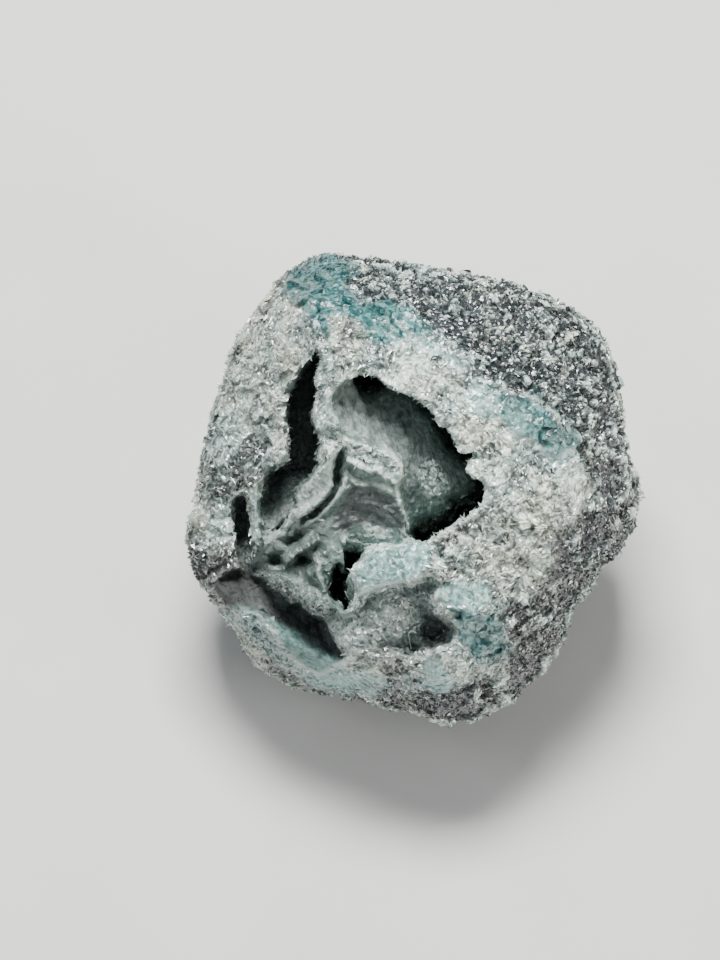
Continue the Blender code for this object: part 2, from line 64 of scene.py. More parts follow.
# The hollows. A wall's width is how far across it falls.
HOLLOW_FLOOR = -0.6
HOLLOW_MIDDLE = (-0.3, 0.3)
UNDERCUT = 0.45  # how far the main hollow spreads under its rim
SLOT_FLOOR_V = [-0.9, -0.3, 0.4, 2.4]
SLOT_FLOOR_W = [1.1, 0.8, 0.0, 0.4]
SIDE_SLOT_DEPTH = 0.9
LOW_PATCH_DEPTH = 0.12
LOBE_LEVEL = 0.7
STEEP_WALL = 0.1
TONGUE_WALL = 0.18
RECESS_WALL = 0.22
TROUGH_WALL = 0.3

# The core's small relief.
CREST_SLOPE = 2.5
FOLD_HEIGHT = 0.03
FOLD_SPACING = 0.3
STEP_HEIGHT = 0.04
STEP_SPACING = 0.24
STEP_CENTRE = (-0.93, -1.16)

# Flat faces on the sides and back of the stone: (outward direction in u, v, w, distance).
SIDE_FACES = [
    ((0.49, 0.71, 0.5), 3.82), ((0.84, -0.05, 0.54), 3.8), ((0.5, -0.62, 0.6), 3.72),
    ((-0.35, -0.8, 0.35), 3.75), ((0.1, 0.35, -1.0), 3.25), ((-0.9, 0.2, -0.5), 3.6),
    ((0.8, 0.4, -0.65), 3.65), ((0.1, 0.95, -0.4), 3.8), ((0.4, -0.85, -0.3), 3.75),
    ((-0.6, -0.6, -0.55), 3.7),
]

# Small pits: (u, v, radius, depth).
PITS = [
    (-2.47, -1.24, 0.11, 0.35), (-1.97, -1.22, 0.09, 0.3), (-1.84, -1.24, 0.09, 0.35),
    (-0.08, -2.76, 0.15, 0.22), (0.3, -2.42, 0.17, 0.26), (-1.46, 0.84, 0.08, 0.25),
]

# Outline of the stone, seen straight onto the broken face.
STONE = [
    (-2.28, 3.85), (-1.66, 4.1), (-0.79, 4.06), (0.26, 3.96), (1.31, 3.73), (2.19, 3.47),
    (2.98, 3.06), (3.41, 2.45), (3.66, 1.58), (3.8, 0.7), (4.04, -0.14), (3.8, -0.88),
    (3.27, -1.51), (2.75, -2.14), (2.47, -2.8), (2.01, -3.5), (1.4, -3.96), (0.7, -4.13),
    (-0.09, -3.94), (-1.14, -3.75), (-2.19, -3.52), (-2.75, -3.12), (-3.06, -2.54), (-3.68, -1.79),
    (-4.04, -1.02), (-3.82, 0.0), (-3.62, 1.05), (-3.38, 1.93), (-3.1, 2.8), (-2.68, 3.38),
]

# Rims of the hollows, in the same view.
LEFT_SLOT = [
    (-1.7, 2.47), (-1.66, 2.19), (-1.73, 1.93), (-1.72, 1.58), (-1.77, 1.23), (-1.63, 0.91),
    (-1.6, 0.56), (-1.75, 0.21), (-1.98, -0.18), (-2.22, -0.5), (-2.45, -0.8), (-2.7, -0.9),
    (-2.74, -0.35), (-2.66, 0.12), (-2.55, 0.4), (-2.28, 0.53), (-2.26, 0.96), (-2.28, 1.4),
    (-2.21, 1.72), (-2.05, 2.05), (-1.87, 2.31),
]
SIDE_SLOT = [
    (-3.17, -0.12), (-2.94, -0.11), (-2.89, -0.44), (-2.87, -0.88), (-2.84, -1.42), (-2.98, -1.45),
    (-3.1, -1.31), (-3.19, -0.96), (-3.22, -0.53),
]
MAIN_HOLLOW = [
    (-1.42, 1.72), (-1.23, 1.93), (-1, 1.98), (-0.75, 2), (-0.53, 1.86), (-0.23, 1.7), (0.09, 1.54),
    (0.3, 1.37), (0.44, 1.14), (0.65, 0.93), (0.79, 0.68), (1, 0.67), (0.89, 0.49), (0.93, 0.28),
    (1.14, 0.18), (1.21, -0.04), (1.1, -0.28), (0.88, -0.46), (0.75, -0.53), (0.53, -0.7),
    (0.26, -0.82), (-0.02, -0.84), (-0.12, -0.82), (-0.26, -0.91), (-0.42, -0.93), (-0.65, -0.93),
    (-0.81, -1), (-0.91, -1.19), (-1.1, -1.37), (-1.09, -1.52), (-1.03, -1.72), (-1.05, -1.93),
    (-1.21, -2.12), (-1.38, -2.03), (-1.63, -1.93), (-2.01, -1.79), (-2.29, -1.58), (-2.57, -1.51),
    (-2.82, -1.4), (-2.78, -1.09), (-2.64, -0.84), (-2.36, -0.63), (-2.15, -0.32), (-1.94, 0),
    (-1.66, 0.28), (-1.49, 0.56), (-1.28, 0.81), (-1.31, 1.09), (-1.45, 1.37), (-1.47, 1.58),
]
LOWER_RECESS = [
    (-1.35, -2.03), (-1.21, -2.15), (-1.03, -1.96), (-0.93, -1.8), (-0.7, -1.72), (-0.53, -1.66),
    (-0.26, -1.61), (-0.09, -1.63), (0.05, -1.52), (0.23, -1.51), (0.39, -1.58), (0.35, -1.75),
    (0.3, -1.93), (0.39, -2.1), (0.54, -2.22), (0.65, -2.31), (0.68, -2.54), (0.65, -2.63),
    (0.53, -2.71), (0.35, -2.77), (0.18, -2.84), (0.05, -2.91), (-0.18, -2.89), (-0.44, -2.84),
    (-0.7, -2.77), (-0.96, -2.8), (-1.17, -2.91), (-1.28, -2.82), (-1.38, -2.63), (-1.49, -2.42),
    (-1.58, -2.17),
]
TROUGH = [
    (-3.55, -1.66), (-3.33, -1.45), (-3.06, -1.38), (-2.82, -1.45), (-2.64, -1.58), (-2.45, -1.79),
    (-2.28, -1.94), (-2.01, -1.94), (-1.84, -2.14), (-1.58, -2.21), (-1.49, -2.45), (-1.35, -2.71),
    (-1.21, -2.91), (-1.4, -3.06), (-1.7, -3.22), (-1.93, -3.1), (-2.19, -2.89), (-2.36, -2.63),
    (-2.54, -2.4), (-2.75, -2.19), (-3.06, -2.14), (-3.38, -2.01),
]
LOW_PATCH = [
    (0.58, -2.21), (0.96, -2.22), (1.31, -2.35), (1.51, -2.63), (1.45, -2.91), (1.14, -2.92),
    (0.82, -2.84), (0.65, -2.63),
]

# What is left standing in the main hollow: the core, a folded tongue behind it and a lobe
# behind that.
CORE = [
    (-1.7, 0.95), (-1.58, 0.86), (-1.72, 0.67), (-1.72, 0.44), (-1.82, 0.26), (-1.98, 0.09),
    (-2.07, -0.09), (-2.1, -0.25), (-2.22, -0.39), (-2.29, -0.56), (-2.38, -0.7), (-2.57, -0.79),
    (-2.75, -0.88), (-2.85, -1.1), (-2.82, -1.42), (-2.64, -1.56), (-2.45, -1.77), (-2.28, -1.94),
    (-2.01, -1.94), (-1.84, -2.14), (-1.58, -2.21), (-1.42, -2.28), (-1.21, -2.17), (-1.33, -2.01),
    (-1.47, -1.86), (-1.47, -1.7), (-1.4, -1.52), (-1.33, -1.35), (-1.19, -1.3), (-1.05, -1.23),
    (-1.03, -1.09), (-1.14, -1.02), (-1.14, -0.88), (-1.05, -0.75), (-0.86, -0.72), (-0.58, -0.72),
    (-0.3, -0.74), (-0.07, -0.7), (-0.05, -0.67), (-0.12, -0.46), (-0.23, -0.18), (-0.32, 0.05),
    (-0.19, 0.32), (-0.33, 0.58), (-0.6, 0.75), (-0.89, 0.88), (-1.21, 0.98), (-1.35, 1.09),
]
TONGUE = [
    (-1.63, 1.93), (-1.38, 2.1), (-1.1, 2.03), (-0.95, 1.77), (-0.84, 1.54), (-0.63, 1.45),
    (-0.4, 1.54), (-0.12, 1.33), (0.09, 1.05), (0.25, 0.79), (0.42, 0.53), (0.61, 0.33),
    (0.7, 0.16), (0.6, -0.04), (0.33, -0.18), (-0.02, -0.32), (-0.33, -0.28), (-0.61, 0.18),
    (-1.14, 0.7), (-1.4, 0.88),
]
BACK_LOBE = [
    (0.21, 1.44), (0.46, 1.4), (0.6, 1.12), (0.6, 0.81), (0.46, 0.58), (0.3, 0.84),
]

# Levels of the ground inside the hollows, as (u, v, w).
CORE_POSTS = [
    (-1.23, 0.88, 2.75), (-0.88, 0.75, 2.66), (-0.53, 0.58, 2.6), (-0.3, 0.39, 2.52),
    (-0.4, 0.18, 2.44), (-1.14, 0.67, 2.64), (-0.79, 0.49, 2.58), (-1.14, 0.39, 2.42),
    (-0.88, 0.26, 2.3), (-0.61, 0.18, 2.26), (-1.23, 0.14, 2.42), (-0.88, 0, 2.24),
    (-0.51, -0.07, 2.22), (-0.21, -0.18, 2.15), (-1.14, -0.18, 2.08), (-0.7, -0.26, 1.9),
    (-0.39, -0.39, 1.9), (-0.16, -0.61, 1.84), (-1.14, -0.44, 1.94), (-0.75, -0.49, 1.76),
    (-0.44, -0.6, 1.76), (-1.4, -0.88, 1.9), (-0.75, -0.88, 1.6), (-1.23, -1.05, 1.85),
    (-1.05, -1.16, 1.75), (-1.49, -1.31, 1.8), (-1.38, -1.58, 1.75), (-1.47, -1.87, 1.75),
    (-1.31, -2.14, 2.1), (-0.96, -2.14, 2.4), (-1.1, -2.63, 2.3), (-1.49, -2.36, 1.95),
    (-1.66, -1.93, 1.7), (-2.01, -1.79, 1.45), (-2.28, -1.52, 1.2), (-2.54, -1.61, 1),
    (-1.87, -1.44, 1.35), (-2.19, -1.26, 1.25), (-2.45, -1.02, 1.3), (-2.71, -1.16, 1.08),
    (-2.78, -1.4, 0.95), (-2.45, -0.6, 1.15), (-2.19, -0.56, 1.5), (-2.05, -0.18, 1.85),
    (-1.84, -0.23, 1.88), (-1.66, -0.04, 2.1), (-1.56, 0.21, 2.4), (-1.84, 0.14, 2.15),
    (-1.66, 0.49, 2.5), (-1.63, 0.88, 2.6), (-1.58, -0.67, 1.88), (-1.93, -0.77, 1.55),
    (-0.61, -1.93, 2.62), (-0.26, -1.84, 2.6), (0.18, -1.72, 2.58), (-0.53, -2.36, 2.42),
    (-0.18, -2.31, 2.3), (0.12, -2.1, 2.25), (0.3, -2.42, 1.95), (0.56, -2.49, 1.95),
    (0, -2.71, 1.95), (-0.35, -2.71, 2.15), (-0.75, -2.63, 2.3), (0.37, -2.71, 1.9),
]
TONGUE_POSTS = [
    (-1.49, 1.82, 2.7), (-1.23, 1.37, 2.55), (-1.17, 1.82, 2.5), (-1, 1.54, 2.4),
    (-0.96, 1.14, 2.45), (-1.23, 0.96, 2.6), (-0.68, 1.37, 2.05), (-0.37, 1.44, 1.9),
    (-0.26, 1.09, 2.15), (-0.53, 0.88, 2.36), (-0.05, 0.84, 2.12), (0.09, 1, 1.8),
    (0.23, 0.7, 1.85), (-0.12, 0.39, 2.2), (-0.3, 0, 2.1), (0.18, 0.39, 2.05), (0.4, 0.39, 1.85),
    (0.54, 0.14, 1.75), (0.26, -0.07, 1.8), (-0.05, -0.23, 1.6), (0.67, 0.16, 1.55),
]
TROUGH_POSTS = [
    (-3.33, -1.72, 1), (-3.06, -1.72, 1), (-2.71, -1.82, 1.05), (-2.28, -2.07, 1),
    (-1.93, -2.21, 0.95), (-1.58, -2.5, 1.05), (-1.37, -2.8, 1.3), (-2.89, -2, 1.15),
    (-2.54, -2.28, 1.3), (-2.19, -2.52, 1.45), (-1.84, -2.8, 1.65), (-1.58, -2.98, 1.75),
    (-2.01, -2.89, 1.8), (-1.7, -3.12, 1.9),
]

# Crests of the core: half the width of each one's top, and its points as (u, v, w).
CRESTS = {
    "left lip": (0.02, [
        (-1.23, 0.88, 2.8), (-1.35, 0.72, 2.78), (-1.47, 0.56, 2.74), (-1.47, 0.39, 2.68),
        (-1.44, 0.23, 2.6), (-1.49, 0.05, 2.42), (-1.63, -0.14, 2.2), (-1.84, -0.35, 2),
        (-2.01, -0.46, 1.88),
    ]),
    "end of the left lip": (0.015, [
        (-2.01, -0.46, 1.88), (-2.19, -0.33, 1.7),
    ]),
    "right lip": (0.02, [
        (-1.21, 0.21, 2.54), (-1.24, 0.07, 2.46), (-1.42, -0.19, 2.28), (-1.58, -0.37, 2.02),
        (-1.79, -0.53, 1.84), (-1.98, -0.68, 1.65),
    ]),
    "branch": (0.09, [
        (-2.15, -0.3, 1.75), (-2.24, -0.51, 1.6), (-2.35, -0.72, 1.45), (-2.54, -0.89, 1.3),
        (-2.78, -1.03, 1.2), (-2.87, -1.26, 1.05),
    ]),
    "foot": (0.045, [
        (-2.29, -1.23, 1.4), (-2.07, -1.1, 1.6), (-1.93, -1.02, 1.75), (-1.77, -0.89, 1.9),
    ]),
    "arch": (0.04, [
        (-1.77, -1.17, 1.75), (-1.66, -1.3, 1.85), (-1.7, -1.52, 1.8), (-1.59, -1.75, 1.75),
    ]),
    "saddle top": (0.03, [
        (-1.23, 0.88, 2.8), (-0.96, 0.77, 2.74), (-0.75, 0.7, 2.7), (-0.54, 0.68, 2.68),
        (-0.39, 0.6, 2.64), (-0.26, 0.46, 2.6), (-0.23, 0.28, 2.52),
    ]),
    "saddle edge": (0.03, [
        (-1.23, 0.61, 2.62), (-1.1, 0.51, 2.66), (-0.95, 0.42, 2.66), (-0.77, 0.37, 2.62),
        (-0.61, 0.3, 2.58), (-0.49, 0.19, 2.54), (-0.35, 0.16, 2.5),
    ]),
    "shelf edge": (0.02, [
        (-1.1, 0.18, 2.42), (-0.91, 0.12, 2.4), (-0.68, 0.11, 2.36), (-0.47, 0.04, 2.34),
        (-0.33, -0.11, 2.3),
    ]),
    "drape edge": (0.025, [
        (-0.25, 0.25, 2.5), (-0.33, 0.05, 2.42), (-0.28, -0.18, 2.28), (-0.19, -0.39, 2.14),
        (-0.12, -0.58, 2), (-0.09, -0.7, 1.9),
    ]),
    "drape hem": (0.03, [
        (-1.26, -0.88, 1.96), (-1.14, -0.75, 2), (-0.93, -0.68, 2), (-0.68, -0.68, 1.97),
        (-0.42, -0.7, 1.93), (-0.14, -0.72, 1.86),
    ]),
}
# Grooves between them: depth, half the width, and points as (u, v).
GROOVES = [
    (0.5, 0.09, [(-1.33, 0.67), (-1.37, 0.44), (-1.37, 0.21)]),
    (0.26, 0.04, [(-1.38, 0.11), (-1.47, -0.12), (-1.66, -0.32), (-1.96, -0.56)]),
    (0.14, 0.035, [(-1.23, -0.68), (-1.05, -0.6), (-0.82, -0.56), (-0.53, -0.6), (-0.3, -0.63)]),
    (0.24, 0.07, [(-2.22, -0.93), (-2.12, -0.88), (-2, -0.79)]),
]

# -------- the finish (mm)
MIDDLE_X, MIDDLE_Y = -0.00796, -0.07074  # of the leaned stone's box, before it is set down
GRID_CELLS = 380  # across each side of the stone, when it is sculpted
SKIN_CELL = 0.03  # size of the cells that the skin is rebuilt from
BODY_TRIANGLES = 195000
FIELD_CELL = 0.02  # of the grids that outlines are measured on
RAGGED = [(0.05, 0.28, (11, 12)), (0.028, 0.11, (13, 14))]  # rims: (shift, spacing, two seeds)
CLUMP, CHIP = 0.36, 0.15  # spacing of the clumps of the skin, and of the chips on them
CLUMP_HEIGHT = 0.14
CLUMP_WANDER = 0.1
FACET = 0.25  # spacing of the broken face's facets, across the grain
FACE_HEIGHT = 0.03  # of its lighter parts over its darker ones
GRAIN_PATCH = 1.1  # the grain of the face keeps to one way over about this distance
GRAIN_WAYS = (0.82, 0.57, 0), (0.75, -0.66, 0)
SLAB_DIRECTION = (0.85, -0.5, 0.1)
SLAB_HEIGHT = 0.06
SLAB_STREAK_HEIGHT = 0.03
FOLD_DIRECTION = (-0.34, 0.94, -0.25)
FOLD_TURN = 0.35  # radians, from the face frame's v axis to the folds
FOLD_LINE_HEIGHT = 0.02
FOLD_BUMP = 0.00006  # metres
DRAPE_LINE_HEIGHT = 0.012
DRAPE_LINE_SPACING = 0.13
CREST_HIGHLIGHT_WIDTH = 0.025  # how wide the painted highlight on a crest or a rim is
RIM_HIGHLIGHT_WIDTH = 0.03
LINT_RADIUS = 0.011
LINT_LIFT = 0.07

# The coats of crystals: (name, how many, shortest and longest half length, how wide and thick
# for its length, how far they tip out of the surface, seed).
COATS = [
    ("crystals_face", 7500, (0.04, 0.14), (0.26, 0.12), 0.32, 41),
    ("crystals_skin", 24000, (0.035, 0.1), (0.35, 0.25), 0.6, 42),
    ("crystals_back", 24000, (0.06, 0.13), (0.6, 0.5), 0.4, 43),
]
BEDDING = 0.55  # crystals lie the same way over about this distance
GRAIN_SPREAD = 0.4  # how far they turn from it
OCTAHEDRON = np.array([(1, 0, 0), (-1, 0, 0), (0, 1, 0), (0, -1, 0), (0, 0, 1), (0, 0, -1)])
OCTAHEDRON_FACES = np.array([
    (0, 2, 4), (2, 1, 4), (1, 3, 4), (3, 0, 4), (2, 0, 5), (1, 2, 5), (3, 1, 5), (0, 3, 5),
])

# The picture: the stone's centre in pixels, and millimetres to a pixel at one height.
PICTURE_WIDTH, PICTURE_HEIGHT = 720, 960
STONE_X, STONE_Y = 415, 490
PIXEL = 0.0175
IN_SCALE_AT = 2.0
CAMERA_DISTANCE = 120
SENSOR = 24
FLOOR_SIZE = 0.6  # metres
LOOKED_AT = 0.0035  # height in metres of the point that the lights look at

# Soft boxes: (name, direction in the camera's axes, distance, width and height, watts, colour).
LIGHTS = [
    ("key", (-0.05, 0.75, 0.7), 0.07, (0.03, 0.02), 0.115, (1, 0.99, 0.97)),
    ("left", (-0.85, 0.3, 0.6), 0.08, (0.02, 0.05), 0.009, (0.95, 0.98, 1)),
    ("side", (0.85, -0.3, 0.5), 0.08, (0.015, 0.05), 0.035, (1, 0.97, 0.9)),
]
SKY, SKY_STRENGTH = (0.85, 0.9, 0.95, 1), 0.24

DIAMOND_IOR = 2.42
FACE_STOPS = [(0.3, (0.03, 0.043, 0.044)), (0.48, (0.25, 0.325, 0.31)), (0.66, (0.86, 0.99, 0.94))]
WARM, COOL = (1.07, 1, 0.88), (0.93, 1.01, 1.01)  # what the face's colour is times, in patches
PALE_DARK, PALE_LIGHT = (0.085, 0.225, 0.212), (0.42, 0.71, 0.655)
TONGUE_DARK = (0.08, 0.105, 0.1)
# What lies over the face, lowest first: (zone, pattern that mottles it, stops of its ramp).
LAYERS = [
    ("pale", "grain", (0.3, PALE_DARK), (0.7, PALE_LIGHT)),
    # the skin: near black in the creases between its clumps, partly painted shade over its own dark
    # and light crystals
    ("skin", "lit", (0.3, (0.003, 0.01, 0.013)), (0.5, (0.022, 0.045, 0.05)),
     (0.75, (0.72, 0.86, 0.81))),
    ("teal", "grain", (0.25, (0.003, 0.04, 0.043)), (0.5, (0.018, 0.105, 0.108)),
     (0.75, (0.15, 0.37, 0.36))),
    ("hollow", "grain", (0.3, (0.11, 0.155, 0.145)), (0.7, (0.32, 0.41, 0.39))),
    ("trough", "mottle", (0.35, (0.07, 0.086, 0.083)), (0.65, (0.15, 0.172, 0.165))),
    ("lip", "mottle", (0.35, PALE_DARK), (0.65, PALE_LIGHT)),
    ("recess", "grain", (0.3, (0.08, 0.12, 0.112)), (0.7, (0.44, 0.54, 0.51))),
    ("core", "mottle", (0.35, (0.06, 0.1, 0.088)), (0.65, (0.23, 0.31, 0.28))),
    ("drape", "mottle", (0.35, (0.03, 0.034, 0.034)), (0.65, (0.14, 0.15, 0.15))),
    # painted light: the core's left crests and branch, coloured near white where they catch the
    # light
    ("bright", "grain", (0.3, (0.28, 0.39, 0.36)), (0.6, (0.88, 1, 0.95))),
    ("tongue", "mottle", (0.35, TONGUE_DARK), (0.68, (0.31, 0.37, 0.355))),
    # painted light on the tongue's tip and the core's saddle
    ("tip", "grain", (0.3, TONGUE_DARK), (0.7, (0.8, 0.95, 0.9))),
]
NOT_ON_CRYSTALS = ("hollow", "trough", "drape", "bright")
# Painted light laid over the body: a painted highlight along the core's crests and along the rims,
# and painted shade deep in the hollows.
RIM_HIGHLIGHT = (0.8, 0.92, 0.86)
PLAIN_LAYERS = [("crest", (0.78, 0.9, 0.83)), ("deep", (0.1, 0.16, 0.148)), ("rim", RIM_HIGHLIGHT)]
SHADED_SHARE = 0.75  # how much darker the painted shade makes the lower left corner, the left face and the bottom of the lower recess

# The light grey part of the front, and the patches of glassy teal, as outlines in the face frame.
BRIGHT_FACE = [
    (-2.4, 3.6), (-1.66, 3.4), (-1.1, 3.25), (-0.5, 3.1), (0.1, 2.75), (0.5, 2.35), (1.05, 2.01),
    (1.49, 1.58), (2.19, 1.05), (2.8, 0.61), (3.06, 0.18), (2.98, -0.35), (2.54, -0.88),
    (2.28, -1.58), (1.84, -1.93), (1.49, -2.28), (1.49, -2.98), (1.14, -3.33), (0.44, -3.5),
    (-0.61, -3.5), (-1.49, -3.7), (-2.54, -3.7), (-3.59, -3.3), (-4.46, -1.93), (-4.64, 0),
    (-4.2, 2.01), (-3.33, 3.59),
]
TEAL_PATCHES = [
    [
        (-2.22, 3.75), (-1.87, 4.03), (-1.38, 4.06), (-1, 3.82), (-1.19, 3.54), (-1.09, 3.29),
        (-0.79, 3.22), (-0.51, 3.36), (-0.16, 3.31), (0.09, 3.12), (0.16, 2.87), (0.02, 2.71),
        (-0.23, 2.68), (-0.42, 2.56), (-0.65, 2.63), (-0.89, 2.8), (-1.07, 2.98), (-1.35, 2.98),
        (-1.52, 2.92), (-1.45, 2.68), (-1.66, 2.77), (-1.93, 2.98), (-2.15, 3.31),
    ],
    [
        (1.28, 1.58), (1.49, 1.72), (1.87, 1.68), (2.35, 1.37), (2.77, 0.91), (2.71, 0.7),
        (2.45, 0.6), (2.14, 0.75), (1.77, 0.95), (1.4, 1.26), (1.21, 1.44),
    ],
    [
        (0.54, -2.14), (0.93, -2.08), (1.3, -2.23), (1.56, -2.44), (1.6, -2.8), (1.34, -3.0),
        (1.02, -2.94), (0.76, -2.68), (0.57, -2.42),
    ],
]
PALE_PATCHES = [
    [
        (-1.1, -1.37), (-0.82, -0.96), (-0.26, -0.89), (0.26, -0.88), (0.3, -1.16), (0.18, -1.44),
        (-0.18, -1.61), (-0.53, -1.72), (-0.93, -1.79),
    ],
    [
        (0.19, 2.94), (0.44, 3.08), (0.75, 3.01), (0.96, 2.8), (1.1, 2.52), (1.17, 2.28),
        (0.82, 2.17), (0.54, 2.24), (0.3, 2.45), (0.09, 2.66),
    ],
    [
        (0.89, 1.58), (1.07, 1.86), (1.45, 1.98), (1.77, 1.79), (2.12, 1.59), (2.47, 1.37),
        (2.75, 1.09), (2.75, 0.77), (2.5, 0.56), (2.19, 0.67), (1.84, 0.95), (1.49, 1.16),
        (1.14, 1.33),
    ],
    [
        (0.16, -3.01), (0.4, -2.91), (0.63, -3.19), (0.61, -3.57), (0.37, -3.5), (0.19, -3.29),
    ],
    [
        (-2.01, -3.26), (-1.49, -3.12), (-0.82, -3.19), (-0.51, -3.36), (-0.61, -3.68),
        (-1.14, -3.68), (-1.7, -3.54),
    ],
    [
        (0.37, -1.68), (0.79, -1.61), (1.23, -1.68), (1.26, -1.93), (0.96, -2.1), (0.58, -2.07),
        (0.4, -1.89),
    ],
    [
        (-2.87, 0), (-2.68, 0), (-2.68, -0.53), (-2.7, -0.96), (-2.75, -1.33), (-2.85, -1.26),
        (-2.85, -0.7), (-2.87, -0.26),
    ],
]
TROUGH_LIP = [
    (-3.38, -2.08), (-2.98, -2.1), (-2.68, -2.22), (-2.33, -2.4), (-1.98, -2.59), (-1.63, -2.8),
    (-1.28, -3.05), (-1.49, -3.33), (-2.01, -3.22), (-2.54, -2.94), (-2.89, -2.59), (-3.17, -2.28),
]

# Outlines of painted shade: the lower left corner of the stone, and the bottom of the lower recess.
SHADED = [
    (-4.01, -1.1), (-3.34, -1.02), (-3.06, -1.23), (-2.68, -1.49), (-2.28, -1.72), (-2.22, -1.93),
    (-2.68, -1.98), (-3.06, -2.05), (-3.41, -2.14), (-3.76, -2.17), (-4.11, -1.86), (-4.25, -1.4),
]
RECESS_FLOOR_SHADE = [
    (-0.93, -2.66), (-0.53, -2.71), (-0.12, -2.73), (0.16, -2.56), (0.37, -2.21), (0.54, -2.14),
    (0.67, -2.38), (0.61, -2.71), (0.33, -2.89), (-0.09, -2.98), (-0.53, -3.01), (-0.88, -2.91),
]
# Where the core is painted light: its left crests, and its branch below them.
LEFT_CORE = [
    (-1.7, 0.98), (-1.23, 0.91), (-1.35, 0.67), (-1.47, 0.49), (-1.44, 0.23), (-1.52, 0),
    (-1.7, -0.21), (-1.93, -0.4), (-2.14, -0.37), (-2.08, -0.12), (-1.91, 0.11), (-1.77, 0.28),
    (-1.7, 0.49), (-1.73, 0.74),
]
BRANCH = [
    (-2.17, -0.26), (-2, -0.46), (-2.08, -0.67), (-2.36, -0.88), (-2.61, -1.05), (-2.71, -1.23),
    (-2.87, -1.33), (-2.89, -1.05), (-2.68, -0.84), (-2.42, -0.6),
]
# Painted light: the saddle of the core and the tip of the tongue are coloured light where they
# catch the light.
SADDLE = [
    (-1.21, 0.86), (-0.88, 0.79), (-0.54, 0.7), (-0.3, 0.53), (-0.21, 0.3), (-0.37, 0.16),
    (-0.68, 0.33), (-1.02, 0.44), (-1.21, 0.58),
]
TONGUE_TIP = [
    (0.11, 0.49), (0.33, 0.54), (0.51, 0.32), (0.58, 0.04), (0.4, -0.14), (0.18, 0), (0.07, 0.26),
]
DRAPE = [
    (-1.14, 0.07), (-0.75, 0.11), (-0.4, -0.07), (-0.21, -0.39), (-0.09, -0.74), (-0.53, -0.68),
    (-0.93, -0.63), (-1.26, -0.74), (-1.45, -0.6), (-1.31, -0.26),
]
LINT = [
    (0.02, -2.5), (-0.02, -2.47), (-0.07, -2.46), (-0.11, -2.49), (-0.12, -2.54), (-0.1, -2.61),
    (-0.08, -2.7), (-0.07, -2.78),
]


# -------- measuring
def smooth_loop(points, per_span=4):
    """The closed curve through the points, as a Catmull-Rom spline."""
    p = np.array(points, float)
    a, b, c, d = (np.roll(p, shift, 0)[:, None, :] for shift in (1, 0, -1, -2))
    t = (np.arange(per_span) / per_span)[None, :, None]
    curve = 0.5 * (
        2 * b + (c - a) * t + (2 * a - 5 * b + 4 * c - d) * t**2 + (3 * b - a - 3 * c + d) * t**3
    )
    return curve.reshape(-1, 2)


def from_segment(u, v, start, end):
    """(distance from a segment, share of the way along it where it is nearest) of each point."""
    (x, y), (dx, dy) = start[:2], (end[0] - start[0], end[1] - start[1])
    along = np.clip(((u - x) * dx + (v - y) * dy) / (dx * dx + dy * dy), 0, 1)
    return np.hypot(u - x - along * dx, v - y - along * dy), along


@functools.lru_cache(maxsize=None)
def depth_field(outline):
    """(low corner, grid) of the distance from points in to the outline, below zero outside."""
    loop = smooth_loop(outline)
    low, high = loop.min(0) - 1, loop.max(0) + 1
    u, v = (np.arange(low[axis], high[axis] + FIELD_CELL, FIELD_CELL) for axis in (0, 1))
    x, y = np.meshgrid(u, v, indexing="ij")
    nearest = np.full(x.shape, np.inf)
    inside = np.zeros(x.shape, bool)
    for start, end in zip(loop, np.roll(loop, -1, 0)):
        nearest = np.minimum(nearest, from_segment(x, y, start, end)[0])
        dx, dy = end - start
        crosses = (start[1] > y) != (end[1] > y)
        inside ^= crosses & (x < start[0] + (y - start[1]) * dx / (dy if dy else 1))
    return low, np.where(inside, nearest, -nearest)


def depth_inside(u, v, outline):
    """Distance from each point in to the outline, and below zero outside it."""
    low, field = depth_field(tuple(outline))
    x, y = (u - low[0]) / FIELD_CELL, (v - low[1]) / FIELD_CELL
    near = (x > 0) & (y > 0) & (x < field.shape[0] - 1) & (y < field.shape[1] - 1)
    x, y = x[near], y[near]
    i, j = x.astype(int), y.astype(int)
    p, q = x - i, y - j
    depth = np.full(len(u), -1.0)
    depth[near] = (
        (field[i, j] * (1 - p) + field[i + 1, j] * p) * (1 - q)
        + (field[i, j + 1] * (1 - p) + field[i + 1, j + 1] * p) * q
    )
    return depth


def along_path(u, v, path):
    """Distance from each point to the path, and the path's height where it is nearest."""
    nearest, height = np.full(len(u), np.inf), np.zeros(len(u))
    for start, end in zip(path, path[1:]):
        away, along = from_segment(u, v, start, end)
        height = np.where(away < nearest, start[2] + along * (end[2] - start[2]), height)
        nearest = np.minimum(nearest, away)
    return nearest, height


def sheet(u, v, posts):
    """Height of a thin, stiff sheet that rests on every post."""
    x, y, height = np.array(posts, float).T

    def bending(at_u, at_v):
        square = (at_u[:, None] - x) ** 2 + (at_v[:, None] - y) ** 2
        return square * np.log(square + 1e-9)

    count = len(x)
    flat = np.column_stack([np.ones(count), x, y])
    system = np.block([[bending(x, y), flat], [flat.T, np.zeros((3, 3))]])
    weights = np.linalg.solve(system, np.append(height, [0, 0, 0]))
    level = bending(u, v) @ weights[:count]
    return level + weights[count] + weights[count + 1] * u + weights[count + 2] * v


def step(x):
    """0 up to x = 0, 1 from x = 1, and smooth between."""
    x = np.clip(x, 0, 1)
    return x * x * (3 - 2 * x)


def lower_of(a, b, blend):
    """The lower of two heights, rounded over where they meet."""
    mix = np.clip(0.5 + 0.5 * (b - a) / blend, 0, 1)
    return b + (a - b) * mix - blend * mix * (1 - mix)


